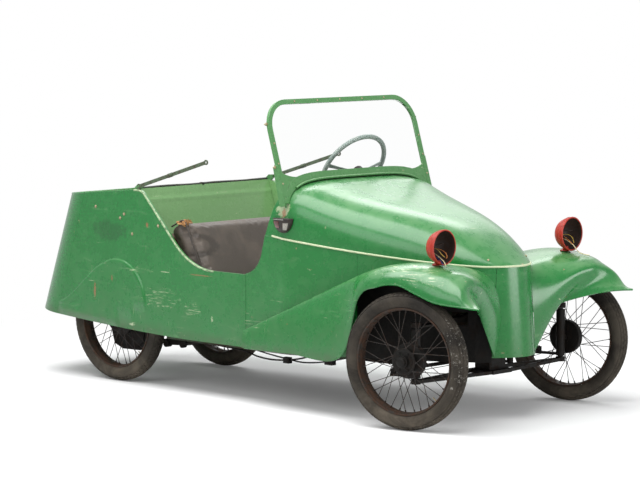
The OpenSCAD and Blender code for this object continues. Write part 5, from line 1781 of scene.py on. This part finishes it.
def make_seat():
    """Seat cushion and back with their piping, and stuffing that shows at the torn corner."""
    for pad in ("seat_cushion", "seat_back"):
        stuffed(pad + "_cover", pad)
    half = side_y(BULKHEAD) - WALL - 15
    piping = Shell()
    for side in (1, -1):
        y = side * (half - 7)
        line = [back_point(60, v, y) for v in steps(30, 372, 14)]
        line += [back_point(u, v, y) for u, v in ((57, 385), (48, 393), (36, 396))]
        line += [back_point(u, 396, y) for u in steps(24, -40, 6)]
        piping.tube(line, 4.2, 8)
    piping.piece("seat_piping", ("piping_dark",), "car_body", "brown_cover")
    torn = Shell()
    torn.add(*lump(back_point(20, 392, -half + 40), (34, 44, 12), 5))
    torn.add(*lump(back_point(50, 376, -half + 16), (14, 20, 17), 9))
    rng = np.random.default_rng(7)
    for _ in range(26):
        base = back_point(rng.uniform(0, 58), 394 - rng.uniform(0, 12), -half + rng.uniform(2, 78))
        tip = base + rng.normal(0, 1, 3) * np.array([9, 9, 4]) + np.array([4, -3, 5])
        torn.tube([base, lerp(base, tip, 0.5) + rng.normal(0, 2, 3), tip], [1.6, 1.2, 0.5], 6)
    obj = torn.piece("torn_stuffing", ("stuffing_tan",), "car_body", "brown_cover")


def lump(centre, size, seed, n=22):
    """Rough closed lump round a point."""
    pts, faces = [], []
    rows = n // 2
    pts.append((0, 0, -1))
    for i in range(1, rows):
        a = math.pi * i / rows - math.pi / 2
        pts += [(math.cos(a) * math.cos(2 * math.pi * j / n), math.cos(a) * math.sin(2 * math.pi * j / n),
                 math.sin(a)) for j in range(n)]
    pts.append((0, 0, 1))
    last = len(pts) - 1
    for j in range(n):
        k = (j + 1) % n
        faces.append((0, 1 + k, 1 + j))
        faces.append((last, last - n + j, last - n + k))
        for i in range(rows - 2):
            a, b = 1 + i * n, 1 + (i + 1) * n
            faces.append((a + j, a + k, b + k, b + j))
    out = []
    for p in pts:
        v = Vector(p)
        rough = 1 + 0.45 * noise.noise(v * 2.1 + Vector((seed, 0, 0))) + 0.25 * noise.noise(v * 5.3)
        out.append(np.asarray(centre) + np.array(p) * np.asarray(size) * rough)
    return out, faces


# Operators

class PieceOperator:
    """What the piece operators share"""

    bl_options = {"REGISTER"}
    makers = ()

    def execute(self, context):
        for maker in self.makers:
            maker()
        return {"FINISHED"}


class MICROCAR_OT_stage(PieceOperator, bpy.types.Operator):
    """Set the camera, the light and the pale floor"""

    bl_idname = "microcar.stage"
    bl_label = "Stage"
    makers = (make_stage,)


class MICROCAR_OT_finishes(PieceOperator, bpy.types.Operator):
    """Mix the paints and the other finishes"""

    bl_idname = "microcar.finishes"
    bl_label = "Finishes"
    makers = (make_finishes,)


class MICROCAR_OT_wires(PieceOperator, bpy.types.Operator):
    """Hang the loose wires in the headlamp shells"""

    bl_idname = "microcar.wires"
    bl_label = "Lamp wires"
    makers = (make_wires,)


class MICROCAR_OT_panels(PieceOperator, bpy.types.Operator):
    """Lay the body panels, the bonnet and the edges"""

    bl_idname = "microcar.panels"
    bl_label = "Body panels"
    makers = (make_bonnet, make_sides, make_arch, make_well_sides, make_edges, make_inside)


class MICROCAR_OT_fenders(PieceOperator, bpy.types.Operator):
    """Lay the front fenders"""

    bl_idname = "microcar.fenders"
    bl_label = "Fenders"
    makers = (make_fenders,)


class MICROCAR_OT_screen(PieceOperator, bpy.types.Operator):
    """Dress the windscreen"""

    bl_idname = "microcar.screen"
    bl_label = "Windscreen"
    makers = (make_screen,)


class MICROCAR_OT_lamps(PieceOperator, bpy.types.Operator):
    """Make the headlamp shells and the side lamps"""

    bl_idname = "microcar.lamps"
    bl_label = "Lamps"
    makers = (make_headlamps, make_side_lamps)


class MICROCAR_OT_wheels(PieceOperator, bpy.types.Operator):
    """Make the wire wheels and their tyres"""

    bl_idname = "microcar.wheels"
    bl_label = "Wheels"
    makers = (make_tyres, make_wheels)


class MICROCAR_OT_steering(PieceOperator, bpy.types.Operator):
    """Make the steering wheel"""

    bl_idname = "microcar.steering"
    bl_label = "Steering wheel"
    makers = (make_steering,)


class MICROCAR_OT_underside(PieceOperator, bpy.types.Operator):
    """Dress the frame, the axles, the rods and the struts"""

    bl_idname = "microcar.underside"
    bl_label = "Frame and axles"
    makers = (make_underside, make_running_gear)


class MICROCAR_OT_fasteners(PieceOperator, bpy.types.Operator):
    """Set the studs and screws"""

    bl_idname = "microcar.fasteners"
    bl_label = "Studs and screws"
    makers = (make_fasteners,)


class MICROCAR_OT_seat(PieceOperator, bpy.types.Operator):
    """Stuff the seat and tear its corner"""

    bl_idname = "microcar.seat"
    bl_label = "Seat"
    makers = (make_seat,)


OPERATORS = (MICROCAR_OT_stage, MICROCAR_OT_finishes, MICROCAR_OT_wires, MICROCAR_OT_panels,
             MICROCAR_OT_fenders, MICROCAR_OT_screen, MICROCAR_OT_lamps, MICROCAR_OT_wheels,
             MICROCAR_OT_steering, MICROCAR_OT_underside, MICROCAR_OT_fasteners, MICROCAR_OT_seat)


class MICROCAR_PT_panel(bpy.types.Panel):
    """Sizes, colours and pieces of the microcar"""

    bl_idname = "MICROCAR_PT_panel"
    bl_label = "Microcar"
    bl_space_type = "VIEW_3D"
    bl_region_type = "UI"
    bl_category = "Microcar"

    def draw(self, context):
        for group in (context.scene.microcar_paint, context.scene.microcar_sizes):
            column = self.layout.column()
            for name in group.__annotations__:
                column.prop(group, name)
        for operator in OPERATORS:
            self.layout.operator(operator.bl_idname)


CLASSES = (MicrocarPaint, MicrocarSizes, *OPERATORS, MICROCAR_PT_panel)


def register():
    for cls in CLASSES:
        bpy.utils.register_class(cls)
    bpy.types.Scene.microcar_paint = PointerProperty(type=MicrocarPaint)
    bpy.types.Scene.microcar_sizes = PointerProperty(type=MicrocarSizes)


def unregister():
    del bpy.types.Scene.microcar_sizes
    del bpy.types.Scene.microcar_paint
    for cls in reversed(CLASSES):
        bpy.utils.unregister_class(cls)


def main():
    register()
    for operator in OPERATORS:
        group, name = operator.bl_idname.split(".")
        getattr(getattr(bpy.ops, group), name)()


if __name__ == "__main__":
    main()
